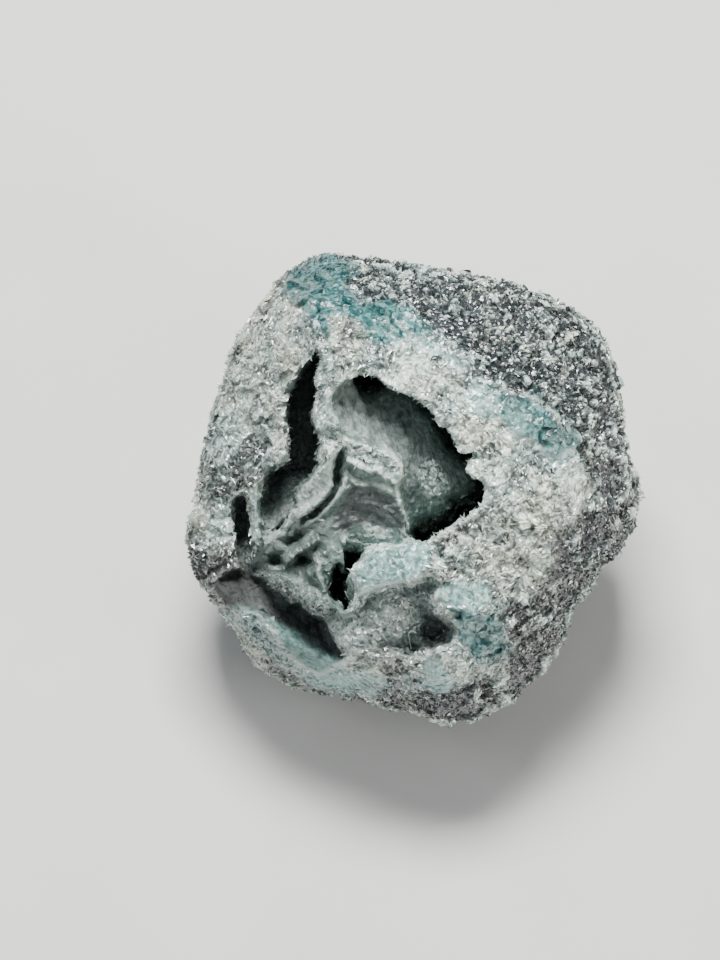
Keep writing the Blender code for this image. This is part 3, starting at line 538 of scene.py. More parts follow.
def noise(points, wavelength, seed):
    """Smooth noise between -1 and 1."""
    size = 32
    table = np.random.default_rng(seed).uniform(-1, 1, (size, size, size))
    q = points / wavelength + 100
    cell = np.floor(q).astype(int)
    part = step(q - cell)
    total = np.zeros(len(points))
    for corner in np.ndindex(2, 2, 2):
        i, j, k = ((cell + corner) % size).T
        total += np.prod(np.where(corner, part, 1 - part), axis=1) * table[i, j, k]
    return total


# -------- the stone's forms
def outline_radius(u, v):
    """The angle of each (u, v), and how far out the stone's outline lies that way."""
    loop = smooth_loop(STONE, 8)
    loop_angle = np.arctan2(loop[:, 1], loop[:, 0])
    order = np.argsort(loop_angle)
    angle = np.arctan2(v, u)
    radius = np.interp(angle, loop_angle[order], np.hypot(*loop[order].T), period=2 * math.pi)
    return angle, radius


def cut_left(u, depth, reach):
    """The depth of the plain front, with the left face cut off it."""
    left_face = LEFT_FACE_LEVEL + LEFT_FACE_SLOPE * (u - LEFT_FACE_U)
    return depth + (lower_of(depth, left_face, 0.5) - depth) * (1 - reach**8)


def outer_form(directions):
    """Points of the unbroken stone, one for each direction from its centre."""
    dx, dy, dz = directions.T
    tilt = np.arctan2(np.hypot(dx, dy), np.abs(dz)) / (math.pi / 2)
    # Even spacing across the face up to near its edge, then even steps down the side.
    edge_tilt, edge_reach = 0.5, 0.86
    edge_turn = math.asin(edge_reach ** (SQUARENESS / 2))
    on_face = np.minimum(tilt, edge_tilt) * edge_reach / edge_tilt
    down_side = np.interp(tilt, [edge_tilt, 1], [edge_turn, math.pi / 2])
    turn = np.where(tilt < edge_tilt, np.arcsin(on_face ** (SQUARENESS / 2)), down_side)
    reach = np.sin(turn) ** (2 / SQUARENESS)
    angle, radius = outline_radius(dx, dy)
    depth = np.where(dz > 0, FRONT_DEPTH, -BACK_DEPTH) * np.cos(turn)
    u, v = reach * radius * np.cos(angle), reach * radius * np.sin(angle)
    return u, v, np.where(dz > 0, cut_left(u, depth, reach), depth)


def outline_reach(u, v):
    """How far out towards the stone's outline each (u, v) lies: 0 in the middle, 1 on it."""
    return np.minimum(np.hypot(u, v) / outline_radius(u, v)[1], 1)


def face_level(u, v):
    """Height of the unbroken front over each (u, v)."""
    reach = outline_reach(u, v)
    return cut_left(u, FRONT_DEPTH * np.sqrt(1 - reach**SQUARENESS), reach)


def raise_crests(level, u, v):
    """The core's level with its sharp crests standing up out of it."""
    for half_width, crest in CRESTS.values():
        away, top = along_path(u, v, crest)
        level = np.maximum(level, top - CREST_SLOPE * np.maximum(0, away - half_width))
    return level


def folded(u, v, level):
    """The tongue's level, with its long folds."""
    across = 0.94 * u + 0.34 * v + 0.06 * np.sin(5 * v)
    return level + FOLD_HEIGHT * np.sin(2 * math.pi * across / FOLD_SPACING)


def from_steps(u, v):
    """Distance from the point that the drape's steps curve around."""
    return np.hypot(u - STEP_CENTRE[0], v - STEP_CENTRE[1])


def stepped(u, v, level):
    """The core's level, with the curved steps of the drape below the saddle."""
    on_drape = step((u + 1.3) / 0.2) * step((0.2 - v) / 0.2) * step((v + 0.95) / 0.2)
    return level + STEP_HEIGHT * np.sin(2 * math.pi * from_steps(u, v) / STEP_SPACING) * on_drape


def carve(u, v, face):
    """The face's height with its hollows sunk and its core left standing."""
    ground = stepped(u, v, sheet(u, v, CORE_POSTS))
    tongue = folded(u, v, sheet(u, v, TONGUE_POSTS))
    height = face
    for sinks, outline, level, wall in (
        (True, LOW_PATCH, face - LOW_PATCH_DEPTH, STEEP_WALL),
        (True, LOWER_RECESS, ground, RECESS_WALL),
        (True, LEFT_SLOT, np.interp(v, SLOT_FLOOR_V, SLOT_FLOOR_W), STEEP_WALL),
        (True, SIDE_SLOT, face - SIDE_SLOT_DEPTH, STEEP_WALL),
        (True, TROUGH, sheet(u, v, TROUGH_POSTS), TROUGH_WALL),
        (True, MAIN_HOLLOW, HOLLOW_FLOOR, STEEP_WALL),
        (False, BACK_LOBE, LOBE_LEVEL, STEEP_WALL),
        (False, TONGUE, tongue, TONGUE_WALL),
        (False, CORE, raise_crests(ground, u, v), STEEP_WALL),
    ):
        shift = (np.minimum if sinks else np.maximum)(level - height, 0)
        height = height + shift * step(0.4 + depth_inside(u, v, outline) / wall)
    for depth, half_width, groove in GROOVES:
        away, _ = along_path(u, v, [(x, y, 0) for x, y in groove])
        height -= depth * np.exp(-((away / half_width) ** 2))
    for pit_u, pit_v, radius, depth in PITS:
        away = np.hypot(u - pit_u, v - pit_v)
        height -= depth * np.exp(-((away / radius) ** 3))
    return np.minimum(height, face)


def undercut(u, v, height, face):
    """Spreads the deep part of the main hollow under its rim, all but the left."""
    rim = depth_inside(u, v, MAIN_HOLLOW)
    deep = step((face - height - 0.5) / 1.2) * step((rim + 0.1) / 0.1) * step(1.2 - rim)
    reach = UNDERCUT * deep * step((u + 1.35) / 0.4)
    from_u, from_v = u - HOLLOW_MIDDLE[0], v - HOLLOW_MIDDLE[1]
    away = np.maximum(np.hypot(from_u, from_v), 0.1)
    return u + reach * from_u / away, v + reach * from_v / away


def ragged(points):
    """(u, v) shaken a little, so that every rim that is cut by them is notched."""
    shifts = [
        sum(size * noise(points, spacing, seeds[axis]) for size, spacing, seeds in RAGGED)
        for axis in (0, 1)
    ]
    return points[:, 0] + shifts[0], points[:, 1] + shifts[1]


def flatten(points, direction, distance, rounding=0.25):
    """Presses whatever reaches past a plane back onto it, with a rounded edge."""
    normal = np.array(direction) / np.linalg.norm(direction)
    past = points @ normal - distance
    give = np.where(past > -rounding, (past + rounding) ** 2 / (4 * rounding), 0)
    give = np.where(past > rounding, past, give)
    return points - give[:, None] * normal


def stone_points(directions):
    """The whole stone's surface in the face frame, before its skin is rebuilt."""
    points = np.column_stack(outer_form(directions))
    for direction, distance in SIDE_FACES:
        points = flatten(points, direction, distance)
    outwards = directions / np.linalg.norm(directions, axis=1)[:, None]
    lumps = sum(height * noise(points, spacing, seed) for height, spacing, seed in LUMPS)
    points += outwards * lumps[:, None]

    front = directions[:, 2] > 0
    u, v, face = points[front].T
    w = carve(*ragged(points[front]), face)
    u, v = undercut(u, v, w, face)
    points[front] = np.column_stack([u, v, w])
    return points


# -------- the skin's fine relief
def unit(vectors):
    return vectors / np.maximum(np.linalg.norm(vectors, axis=1), 1e-9)[:, None]


def nearest_crystal(points, spacing, seed):
    """The nearest of a scatter of crystals: (offset from its middle, in spacings, its traits)."""
    rng = np.random.default_rng(seed)
    wrap = 32
    places = rng.uniform(0.1, 0.9, (wrap, wrap, wrap, 3))
    traits = rng.uniform(-1, 1, (wrap, wrap, wrap, 4))
    q = points / spacing + 100
    cell = np.floor(q).astype(int)
    nearest = np.full(len(points), np.inf)
    offset, trait = np.zeros((len(points), 3)), np.zeros((len(points), 4))
    for shift in np.ndindex(3, 3, 3):
        at = cell + shift - np.array([1, 1, 1])
        i, j, k = (at % wrap).T
        away = q - at - places[i, j, k]
        distance = (away**2).sum(1)
        closer = distance < nearest
        nearest[closer] = distance[closer]
        offset[closer] = away[closer]
        trait[closer] = traits[i[closer], j[closer], k[closer]]
    return offset, trait


def facets(weight, points, spacing, tilt, seed):
    """Weight times the height in mm of flat faces tilted at random, worked out where it counts."""
    out = np.zeros(len(weight))
    there = weight > 0.01
    if there.any():
        offset, trait = nearest_crystal(points[there], spacing, seed)
        out[there] = weight[there] * (spacing * tilt * (offset * unit(trait[:, :3])).sum(1))
    return out


def clumps(points, spacing, seed):
    """About 1 on the tops of rounded clumps, and near 0 in the creases between them."""
    offset, trait = nearest_crystal(points, spacing, seed)
    return 1 - 2.2 * (offset**2).sum(1) + 0.4 * trait[:, 3]


def shards(points):
    """The points squashed along the grain, so that cells made on them come out long."""
    trait = nearest_crystal(points, GRAIN_PATCH, 62)[1]
    along = np.where(trait[:, :1] > 0, *GRAIN_WAYS)
    return points - 0.6 * (points * along).sum(1)[:, None] * along


def streaks(points, along, spacing, length, seed):
    """Noise drawn out along a direction, as fibres lie."""
    along = np.array(along) / np.linalg.norm(along)
    lengthwise = (points @ along)[:, None] * along
    return noise((points - lengthwise) / spacing + lengthwise / length, 1, seed)


def left_side(points):
    """From 0 in the middle to 1 on the left face."""
    return step((-1.1 - points[:, 0]) / 1.0)


def highlight_line(away, width=RIM_HIGHLIGHT_WIDTH):
    """1 on a line, and near 0 from twice the highlight's width away: the mask of a painted
    highlight.
    """
    return np.exp(-((away / width) ** 2))


def zones(points):
    """How much each point belongs to each kind of surface, from 0 to 1."""
    u, v, w = points.T

    def within(outline, blur, drift=0):
        """1 inside an outline and 0 outside it, over an edge that is blurred and may drift."""
        return step(0.5 + (depth_inside(u, v, outline) + drift) / blur)

    front = step((w + 0.4) / 0.8)
    wander = 0.16 * noise(points, 0.35, 21) + 0.08 * noise(points, 0.14, 22)
    sunk = np.where(w > -0.8, face_level(u, v) - w, 0) * (outline_reach(u, v) < 0.93)
    rims = MAIN_HOLLOW, LEFT_SLOT, TROUGH, SIDE_SLOT, LOWER_RECESS
    inner = np.maximum.reduce([depth_inside(u, v, rim) for rim in rims])
    inside = step(0.5 + inner / 0.06) * front
    core = within(CORE, 0.08, 0.07) * front
    tongue = within(TONGUE, 0.08) * (1 - core) * inside
    recess = within(LOWER_RECESS, 0.08) * (1 - core) * inside
    # Painted light on the tongue's tip and the core's saddle.
    tip = within(TONGUE_TIP, 0.1) * tongue
    saddle = within(SADDLE, 0.1) * core
    # Painted light: the left crests and the branch of the core are coloured near white where they
    # catch the light.
    bright = np.maximum(within(LEFT_CORE, 0.06), 0.6 * within(BRANCH, 0.08)) * core
    # Painted shade: darker in the lower left corner, at the bottom of the lower recess and over the
    # left face.
    painted_shade_depth = np.maximum(depth_inside(u, v, SHADED), depth_inside(u, v, RECESS_FLOOR_SHADE))
    shaded = np.maximum(step(0.5 + (painted_shade_depth + wander) / 0.3), 0.5 * left_side(points)) * front
    skin = (1 - within(BRIGHT_FACE, 0.5, wander)) * (1 - inside)
    skin = np.where(w < 0, 1, skin * (1 - 0.45 * left_side(points)))
    teal = np.maximum.reduce([within(patch, 0.2, 0.9 * wander) for patch in TEAL_PATCHES])
    # The slab is weaker, and weakest at its upper left.
    teal *= 1 - (0.08 + 0.37 * step((2.1 - u) / 0.6)) * (u > 0.7) * (v > 0)
    back_patch = step((noise(points, 1.5, 23) + 0.4 * noise(points, 0.5, 24) - 0.42) / 0.12)
    teal = teal * front + back_patch * (1 - front)
    pale = np.maximum.reduce([within(patch, 0.15, 0.7 * wander) for patch in PALE_PATCHES])
    glaze = step(0.5 + (noise(points, 0.3, 29) + 0.5 * noise(points, 0.1, 30) - 0.4) / 0.4)
    pale = np.maximum(pale * front, 0.6 * teal * glaze)
    teal = teal * (1 - 0.4 * glaze)
    trough = within(TROUGH, 0.1) * (1 - core) * front
    # Painted shade deep down in the hollows, but not on the core, the tongue or the trough.
    deep = step((sunk - 0.9) / 1.1) * (1 - core) * (1 - tongue) * (1 - trough)
    # Painted highlights along the core's crests.
    paths = [path for _, path in CRESTS.values()]
    crest = np.maximum.reduce([highlight_line(along_path(u, v, path)[0], CREST_HIGHLIGHT_WIDTH) for path in paths])
    hollow = inside * (1 - core) * (1 - tongue) * (1 - recess)
    warmth = np.clip(0.5 + 0.9 * noise(points, 0.55, 43) + 0.5 * noise(points, 0.2, 44), 0, 1)
    slab = depth_inside(u, v, TEAL_PATCHES[1]) + 0.3 * wander
    matt = np.maximum.reduce([tongue, trough, 0.6 * hollow, 0.5 * core])
    return {
        "slab": step(0.5 + slab / 0.12) * front, "skin": skin,
        "lip": 0.75 * (within(TROUGH_LIP, 0.2, 0.4 * wander) * front),
        "teal": teal * (1 - inside), "pale": pale * (1 - core),
        "warmth": warmth, "hollow": hollow, "trough": trough, "core": core, "bright": bright,
        "drape": within(DRAPE, 0.15, 0.3 * wander) * core,
        "tongue": tongue, "tip": np.maximum(tip, saddle),
        "shaded": shaded, "matt": matt * (1 - 0.7 * tip),
        "recess": recess, "deep": deep * (1 - recess) * front, "crest": crest * core,
        # painted highlights along the rims of the hollows and along the edge of the teal slab
        "rim": (0.7 * highlight_line(inner + RIM_HIGHLIGHT_WIDTH) * (1 - core) + 0.8 * highlight_line(slab)) * front,
        "light": lightness(points, skin), "inside": inside,
    }


def wandering(points):
    """A shift in mm for each point, which makes the outlines of clumps and facets uneven."""
    seeds = (51, 52, 53)
    wander = [noise(points, 0.3, seed) + 0.5 * noise(points, 0.12, seed + 3) for seed in seeds]
    return CLUMP_WANDER * np.column_stack(wander)


def lightness(points, skin):
    """How light each point is next to its neighbours, from 0 to 1: clumps, light on their tops and
    dark in the creases between them, which is partly painted shade, and crinkles.
    """
    shifted = points + wandering(points)
    low = step(1.25 - points[:, 1] / 1.2)
    clump = (0.25 + 0.45 * low) * clumps(shifted, CLUMP, 33)
    clump += (0.75 - 0.45 * low) * clumps(shifted, CHIP, 35)
    tone = nearest_crystal(shards(shifted), FACET, 31)[1][:, 3]
    mottle = noise(points, 0.7, 27) + 0.7 * noise(points, 0.4, 28)
    crinkle = noise(points, 0.21, 25) + 0.7 * noise(points, 0.09, 26)
    left = left_side(points)
    face = 0.58 + 0.22 * tone + (0.2 + 0.45 * left) * mottle
    own = skin * (1.15 * clump - 0.25) + (1 - skin) * face
    return np.clip(own + (0.28 - 0.1 * left) * crinkle, 0.26 * left * (1 - skin), 1)


def relief(points, zone):
    """How far each point of the skin stands out of the plain form, in mm."""
    glassy = (1 - 0.9 * zone["teal"]) * (1 - 0.4 * zone["lip"]) * (1 - 0.75 * zone["pale"])
    face = (1 - zone["skin"]) * (1 - zone["inside"]) * glassy
    skin = zone["skin"] * glassy
    rough = np.clip(face + skin, 0, 1) * (points[:, 2] > -1)
    out = (CLUMP_HEIGHT * skin + FACE_HEIGHT * face) * (zone["light"] - 0.5)
    grained = shards(points + wandering(points))
    out += facets(face, grained, FACET, 0.36, 31)
    out += facets(face, grained, 0.11, 0.3, 32)
    out += facets(rough, points, 0.09, 0.3, 34)
    out += SLAB_HEIGHT * zone["slab"]
    out += facets(zone["teal"], points, 0.4, 0.3, 35)
    out += SLAB_STREAK_HEIGHT * streaks(points, SLAB_DIRECTION, 0.13, 0.7, 36) * zone["teal"]
    folds = streaks(points, FOLD_DIRECTION, 0.075, 0.5, 37)
    folds += 1.3 * streaks(points, FOLD_DIRECTION, 0.16, 0.9, 38)
    out += FOLD_LINE_HEIGHT * folds * zone["tongue"]
    away = from_steps(points[:, 0], points[:, 1]) + 0.05 * noise(points, 0.3, 39)
    out += DRAPE_LINE_HEIGHT * np.sin(2 * math.pi * away / DRAPE_LINE_SPACING) * zone["drape"]
    out += facets(zone["core"], points, 0.13, 0.22, 40)
    out += facets(zone["tip"], points, 0.1, 0.5, 47)
    worn = 0.6 * zone["hollow"] * (1 - 0.4 * zone["trough"]) + zone["recess"]
    out += facets(worn, points, 0.25, 0.25, 41)
    out += facets(worn, points, 0.1, 0.4, 42)
    return out


# -------- meshes
def mesh_of(name, points, faces):
    mesh = bpy.data.meshes.new(name)
    mesh.from_pydata(points.tolist(), [], faces.tolist())
    return mesh


def put(mesh, points):
    """Moves the mesh's vertices to the points."""
    mesh.vertices.foreach_set("co", points.astype(np.float32).ravel())


def read(items, field, kind=np.float32):
    """A row of three numbers from each of a mesh's items."""
    rows = np.empty(len(items) * 3, kind)
    items.foreach_get(field, rows)
    return rows.reshape(-1, 3)


def coordinates(mesh):
    return read(mesh.vertices, "co").astype(float)


def add_layer(mesh, name, kind, field, values):
    """A value or a colour for each vertex, for the material to read."""
    layer = mesh.attributes.new(name, kind, "POINT")
    layer.data.foreach_set(field, values.astype(np.float32).ravel())


def add_object(name, data):
    obj = bpy.data.objects.new(name, data)
    bpy.context.scene.collection.objects.link(obj)
    return obj


def dressed(name, data, material):
    """A new object of a mesh or a curve, in its material."""
    data.materials.append(material)
    return add_object(name, data)


def cube_grid(cells):
    """(vertices, quads) of a cube from -1 to 1 with an even grid on each side."""
    along = np.arange(cells)
    a, b = (x.ravel() for x in np.meshgrid(along, along, indexing="ij"))
    quads = []
    for axis in range(3):
        for end in (0, cells):
            quad = np.zeros((len(a), 4, 3), int)
            for corner, (da, db) in enumerate([(0, 0), (1, 0), (1, 1), (0, 1)]):
                quad[:, corner, axis] = end
                quad[:, corner, (axis + 1) % 3] = a + da
                quad[:, corner, (axis + 2) % 3] = b + db
            quads.append(quad if end else quad[:, ::-1])
    lattice = np.concatenate(quads).reshape(-1, 3)
    width = cells + 1
    keys, index = np.unique(lattice @ [width * width, width, 1], return_inverse=True)
    vertices = np.column_stack([keys // width**2, keys // width % width, keys % width])
    return vertices * 2 / cells - 1, index.reshape(-1, 4)


def modify(obj, kind, **settings):
    """Gives the object the mesh that one modifier makes of its own."""
    modifier = obj.modifiers.new(kind, kind)
    for key, value in settings.items():
        setattr(modifier, key, value)
    graph = bpy.context.evaluated_depsgraph_get()
    obj.data = bpy.data.meshes.new_from_object(obj.evaluated_get(graph))
    obj.modifiers.clear()


LEAN = Matrix.Rotation(math.pi / 2 - FACE_ELEVATION, 3, "X")
LEAN_ROWS = np.array(LEAN)


def to_world(points):
    """From the face frame, in mm, to the row frame, in metres, with nothing below the floor."""
    placed = points @ LEAN_ROWS.T - [MIDDLE_X, MIDDLE_Y, FOOT_LEVEL]
    placed[:, 2] = np.maximum(placed[:, 2], 0)
    return placed / 1000


def to_face(placed):
    return (placed * 1000 + [MIDDLE_X, MIDDLE_Y, FOOT_LEVEL]) @ LEAN_ROWS


def build_body(material):
    """The stone itself, with its fine relief, as one closed mesh."""
    vertices, quads = cube_grid(GRID_CELLS)
    obj = dressed("stone_body", mesh_of("stone_body", stone_points(vertices), quads), material)
    modify(obj, "REMESH", mode="VOXEL", voxel_size=SKIN_CELL)
    modify(obj, "SMOOTH", factor=0.5)

    points = coordinates(obj.data)
    zone = zones(points)
    points += read(obj.data.vertex_normals, "vector") * relief(points, zone)[:, None]
    put(obj.data, points)
    for name, values in zone.items():
        add_layer(obj.data, name, "FLOAT", "value", values)

    ratio = BODY_TRIANGLES / (2 * len(obj.data.polygons))
    modify(obj, "DECIMATE", ratio=ratio, use_collapse_triangulate=True)
    obj.data.validate()
    put(obj.data, to_world(coordinates(obj.data)))
    obj.data.shade_flat()
    return obj


def scatter(body, density, count, seed):
    """(points, normals, generator) of places on the body, in the face frame."""
    rng = np.random.default_rng(seed)
    body.data.calc_loop_triangles()
    triangles = read(body.data.loop_triangles, "vertices", np.int32)
    corners = to_face(coordinates(body.data))[triangles]
    across = np.cross(corners[:, 1] - corners[:, 0], corners[:, 2] - corners[:, 0])
    area = np.linalg.norm(across, axis=1) / 2
    weight = area * density(corners.mean(1), unit(across))
    picked = rng.choice(len(corners), count, p=weight / weight.sum())
    a, b = rng.uniform(size=(2, count, 1))
    a, b = np.where(a + b > 1, 1 - a, a), np.where(a + b > 1, 1 - b, b)
    first, second, third = corners[picked].transpose(1, 0, 2)
    return first + a * (second - first) + b * (third - first), unit(across)[picked], rng


def build_crystals(name, body, material, density, count, sizes, shape, lean, seed):
    """A coat of small, flattened octahedral crystals, set into the body where density is high."""
    places, normals, rng = scatter(body, density, count, seed)
    bedding = nearest_crystal(places, BEDDING, 61)[1]
    upright = unit(normals + lean * (rng.normal(size=(count, 3)) + 0.7 * bedding[:, 1:]))
    beside = unit(places * [1, 1, 0]) + 1.3 * bedding[:, :3]
    lengthwise = unit(np.cross(upright, beside + GRAIN_SPREAD * rng.normal(size=(count, 3))))
    crosswise = np.cross(upright, lengthwise)
    size = rng.uniform(*sizes, (count, 1)) * rng.uniform(0.7, 1, (count, 1))
    wide, thick = (side * rng.uniform(0.7, 1.3, (count, 1)) for side in shape)
    axes = np.stack([lengthwise, crosswise * wide, upright * thick], axis=1)
    centres = places - normals * size * thick * rng.uniform(0, 0.6, (count, 1))
    points = centres[:, None, :] + np.einsum("ki,nij->nkj", OCTAHEDRON, axes * size[:, None, :])
    keep = (points @ LEAN_ROWS.T)[:, :, 2].min(1) > FOOT_LEVEL
    points, count = points[keep], int(keep.sum())
    faces = OCTAHEDRON_FACES + 6 * np.arange(count)[:, None, None]
    mesh = mesh_of(name, to_world(points.reshape(-1, 3)), faces.reshape(-1, 3))
    tints = np.column_stack([tint_of(centres[keep], rng), np.ones(count)])
    add_layer(mesh, "tint", "FLOAT_COLOR", "color", np.repeat(tints, 6, axis=0))
    return dressed(name, mesh, material)


# -------- where crystals grow, and their tints
def on_face(points, normals):
    zone = zones(points)
    outside = (1 - zone["inside"]) * (1 - 0.6 * zone["lip"]) * (1 - 0.96 * zone["teal"])
    outside = outside * (1 - 0.96 * zone["pale"]) + 0.5 * zone["tip"]
    return (outside + 0.35 * zone["recess"]) * (1 - zone["skin"]) * (points[:, 2] > -0.5)


def on_skin(points, normals):
    zone = zones(points)
    facing = step((normals[:, 2] + 0.25) / 0.2)
    return (1 - zone["inside"]) * zone["skin"] * facing * (1 - 0.8 * zone["teal"]) + 1e-9


def on_back(points, normals):
    return step((0.05 - normals[:, 2]) / 0.2) * (points[:, 2] < 1.5) + 1e-9


def mixed(dark, light, share):
    return np.array(dark) + (np.array(light) - np.array(dark)) * share[:, None]


def tint_of(points, rng):
    """The colour of each crystal, by where it grows."""
    zone = zones(points)
    # Crystals are lighter on the clump tops and darker in the creases, which is partly painted
    # shade.
    luck, lift = rng.uniform(size=len(points)) - 0.5, zone["light"] - 0.5
    coat_luck = np.clip(0.56 + 0.75 * luck + 1.4 * lift, 0, 1)
    luck = np.clip(0.6 + 0.9 * luck + 1.1 * lift, 0, 1)
    hue = mixed(COOL, WARM, zone["warmth"])
    face = mixed(FACE_STOPS[0][1], FACE_STOPS[-1][1], luck) * hue
    # A painted highlight on the crystals along the rims.
    colour = face + (RIM_HIGHLIGHT - face) * 0.7 * zone["rim"][:, None]
    shares = {"skin": coat_luck**3.2, "teal": luck**2}
    for name, _, (_, dark), *_, (_, light) in LAYERS:
        if name in NOT_ON_CRYSTALS:
            continue
        own = mixed(dark, light, shares.get(name, luck))
        if name == "skin":
            own = own * hue
        colour = colour + (own - colour) * zone[name][:, None]
    # Painted shade on the crystals in the lower left corner, over the left face and at the bottom
    # of the lower recess.
    colour = colour * (1 - SHADED_SHARE * zone["shaded"][:, None])
    # Painted shade on the crystals deep in the hollows.
    return colour * (1 - 0.6 * zone["deep"][:, None])


# -------- materials
class Graph:
    """A new material's nodes, with the place on the surface in millimetres."""

    def __init__(self, name):
        self.material = bpy.data.materials.new(name)
        self.material.use_nodes = True
        self.tree = self.material.node_tree
        place = self.node("TexCoord").outputs["Object"]
        self.place = self.vector("SCALE", {0: place, 3: 1000.0})

    def fill(self, made, inputs):
        """Sets or links the named inputs of a node."""
        for key, value in dict(inputs).items():
            if isinstance(value, bpy.types.NodeSocket):
                self.tree.links.new(value, made.inputs[key])
            else:
                made.inputs[key].default_value = value

    def finish(self, inputs):
        """The material, once its surface has been given these."""
        self.fill(self.tree.nodes["Principled BSDF"], inputs)
        return self.material

    def node(self, kind, inputs=(), **settings):
        """A new node with its settings made and its inputs filled."""
        made = self.tree.nodes.new("ShaderNode" + kind)
        for key, value in settings.items():
            setattr(made, key, value)
        self.fill(made, inputs)
        return made

    def vector(self, operation, inputs):
        return self.node("VectorMath", inputs, operation=operation).outputs["Vector"]

    def scalar(self, operation, first, second):
        return self.node("Math", {0: first, 1: second}, operation=operation).outputs[0]

    def weighted(self, first, first_share, second, second_share):
        """The sum of two values, each times its share."""
        own, other = ((first, first_share), (second, second_share))
        return self.scalar("ADD", self.scalar("MULTIPLY", *own), self.scalar("MULTIPLY", *other))

    def ranged(self, value, low, high, top=1.0):
        """Low where the value is 0, and high where it is at its top."""
        inputs = {"Value": value, "From Max": top, "To Min": low, "To Max": high}
        return self.node("MapRange", inputs).outputs["Result"]

    def attribute(self, name, output="Fac"):
        return self.node("Attribute", attribute_name=name).outputs[output]

    def speckle(self, place, scale, detail=2.0, roughness=0.6, distortion=0.0):
        inputs = {"Vector": place, "Scale": scale, "Detail": detail, "Roughness": roughness}
        return self.node("TexNoise", {**inputs, "Distortion": distortion}).outputs["Fac"]

    def cells(self, scale):
        return self.node("TexVoronoi", {"Vector": self.place, "Scale": scale}).outputs["Color"]

    def stretched(self, place, turn, spacing):
        """A place turned about z, so that a pattern on it comes at the spacing each way."""
        inputs = {"Vector": place, "Rotation": (0, 0, turn), "Scale": spacing}
        return self.node("Mapping", inputs, vector_type="TEXTURE").outputs["Vector"]

    def ramp(self, factor, stops):
        """A colour ramp with the stops (position, colour)."""
        made = self.node("ValToRGB", {"Fac": factor})
        elements = made.color_ramp.elements
        while len(elements) < len(stops):
            elements.new(0.5)
        for element, (position, colour) in zip(elements, stops):
            element.position = position
            element.color = (*colour, 1)
        return made.outputs["Color"]

    def blend(self, factor, below, above):
        inputs = {0: factor, 6: below, 7: above}
        return self.node("Mix", inputs, data_type="RGBA").outputs[2]

    def glinting(self, scale, tilt):
        """The surface's normal, tilted at random in each of many small facets."""
        centred = self.vector("SUBTRACT", {0: self.cells(scale), 1: (0.5, 0.5, 0.5)})
        tilted = self.vector("SCALE", {0: centred, 3: tilt})
        normal = self.node("NewGeometry").outputs["Normal"]
        return self.vector("NORMALIZE", {0: self.vector("ADD", {0: normal, 1: tilted})})

    def cracked(self, colour):
        """A colour, darkened in a net of long, warped cracks."""
        shift = self.node("TexNoise", {"Vector": self.place, "Scale": 5.0}).outputs["Color"]
        warped = self.vector("MULTIPLY_ADD", {0: shift, 1: (0.3, 0.3, 0.3), 2: self.place})
        inputs = {"Vector": self.stretched(warped, 0.6, (0.5, 0.2, 0.3)), "Scale": 1.0}
        net = self.node("TexVoronoi", inputs, feature="DISTANCE_TO_EDGE")
        lit = self.ranged(net.outputs["Distance"], 0.2, 1.0, top=0.12)
        return self.vector("SCALE", {0: colour, 3: lit})


def stone_material():
    """The body: each zone has its own mottled colour, over facets that glint."""
    graph = Graph("diamond_stone")
    zone = graph.attribute
    fine = graph.speckle(graph.place, 22.0, 3.0, 0.7)
    chip = graph.node("SeparateColor", {"Color": graph.cells(14.0)}).outputs["Red"]
    grain = graph.weighted(chip, 0.4, fine, 0.6)
    lit = graph.weighted(zone("light"), 0.5, grain, 0.5)
    mottle = graph.speckle(graph.place, 7.0, 4.0, 0.65)
    patterns = {"grain": grain, "lit": lit, "mottle": mottle}

    hue = graph.blend(zone("warmth"), (*COOL, 1), (*WARM, 1))
    colour = graph.vector("MULTIPLY", {0: graph.ramp(lit, FACE_STOPS), 1: hue})
    colour = graph.cracked(colour)
    for name, pattern, *stops in LAYERS:
        colour = graph.blend(zone(name), colour, graph.ramp(patterns[pattern], stops))
    # Painted highlights on the crests and rims, and painted shade deep in the hollows.
    for name, own in PLAIN_LAYERS:
        colour = graph.blend(zone(name), colour, (*own, 1))
    # Painted shade over the lower left corner, the left face and the bottom of the lower recess.
    shade = graph.scalar("MULTIPLY", zone("shaded"), SHADED_SHARE)
    colour = graph.vector("SCALE", {0: colour, 3: graph.scalar("SUBTRACT", 1.0, shade)})

    dull = graph.weighted(zone("matt"), 0.38, zone("teal"), 0.3)
    smooth = graph.weighted(zone("inside"), 0.6, zone("teal"), 0.6)
    along_folds = graph.stretched(graph.place, FOLD_TURN, (0.05, 0.25, 0.25))
    walls = graph.weighted(zone("tongue"), 1.0, zone("hollow"), 0.5)
    relieved = graph.node("Bump", {
        "Strength": 1.0, "Distance": FOLD_BUMP,
        "Height": graph.scalar("MULTIPLY", graph.speckle(along_folds, 1.0, 3.0, 0.6, 0.9), walls),
        "Normal": graph.glinting(18.0, graph.scalar("SUBTRACT", 0.9, smooth)),
    })
    return graph.finish({
        "Base Color": colour, "IOR": DIAMOND_IOR,
        "Roughness": graph.weighted(graph.ranged(fine, 0.2, 0.5), 1.0, zone("matt"), 0.35),
        "Specular IOR Level": graph.scalar("SUBTRACT", 0.5, dull),
        "Normal": relieved.outputs["Normal"],
    })


def crystal_material():
    """The small crystals: each has its own tint, slightly clouded."""
    graph = Graph("diamond_crystals")
    cloud = graph.speckle(graph.place, 30.0)
    tint = graph.attribute("tint", "Color")
    return graph.finish({
        "Base Color": graph.vector("SCALE", {0: tint, 3: graph.ranged(cloud, 0.7, 1.25)}),
        "Roughness": graph.ranged(cloud, 0.1, 0.45),
        "Specular IOR Level": 0.4, "IOR": DIAMOND_IOR,
    })


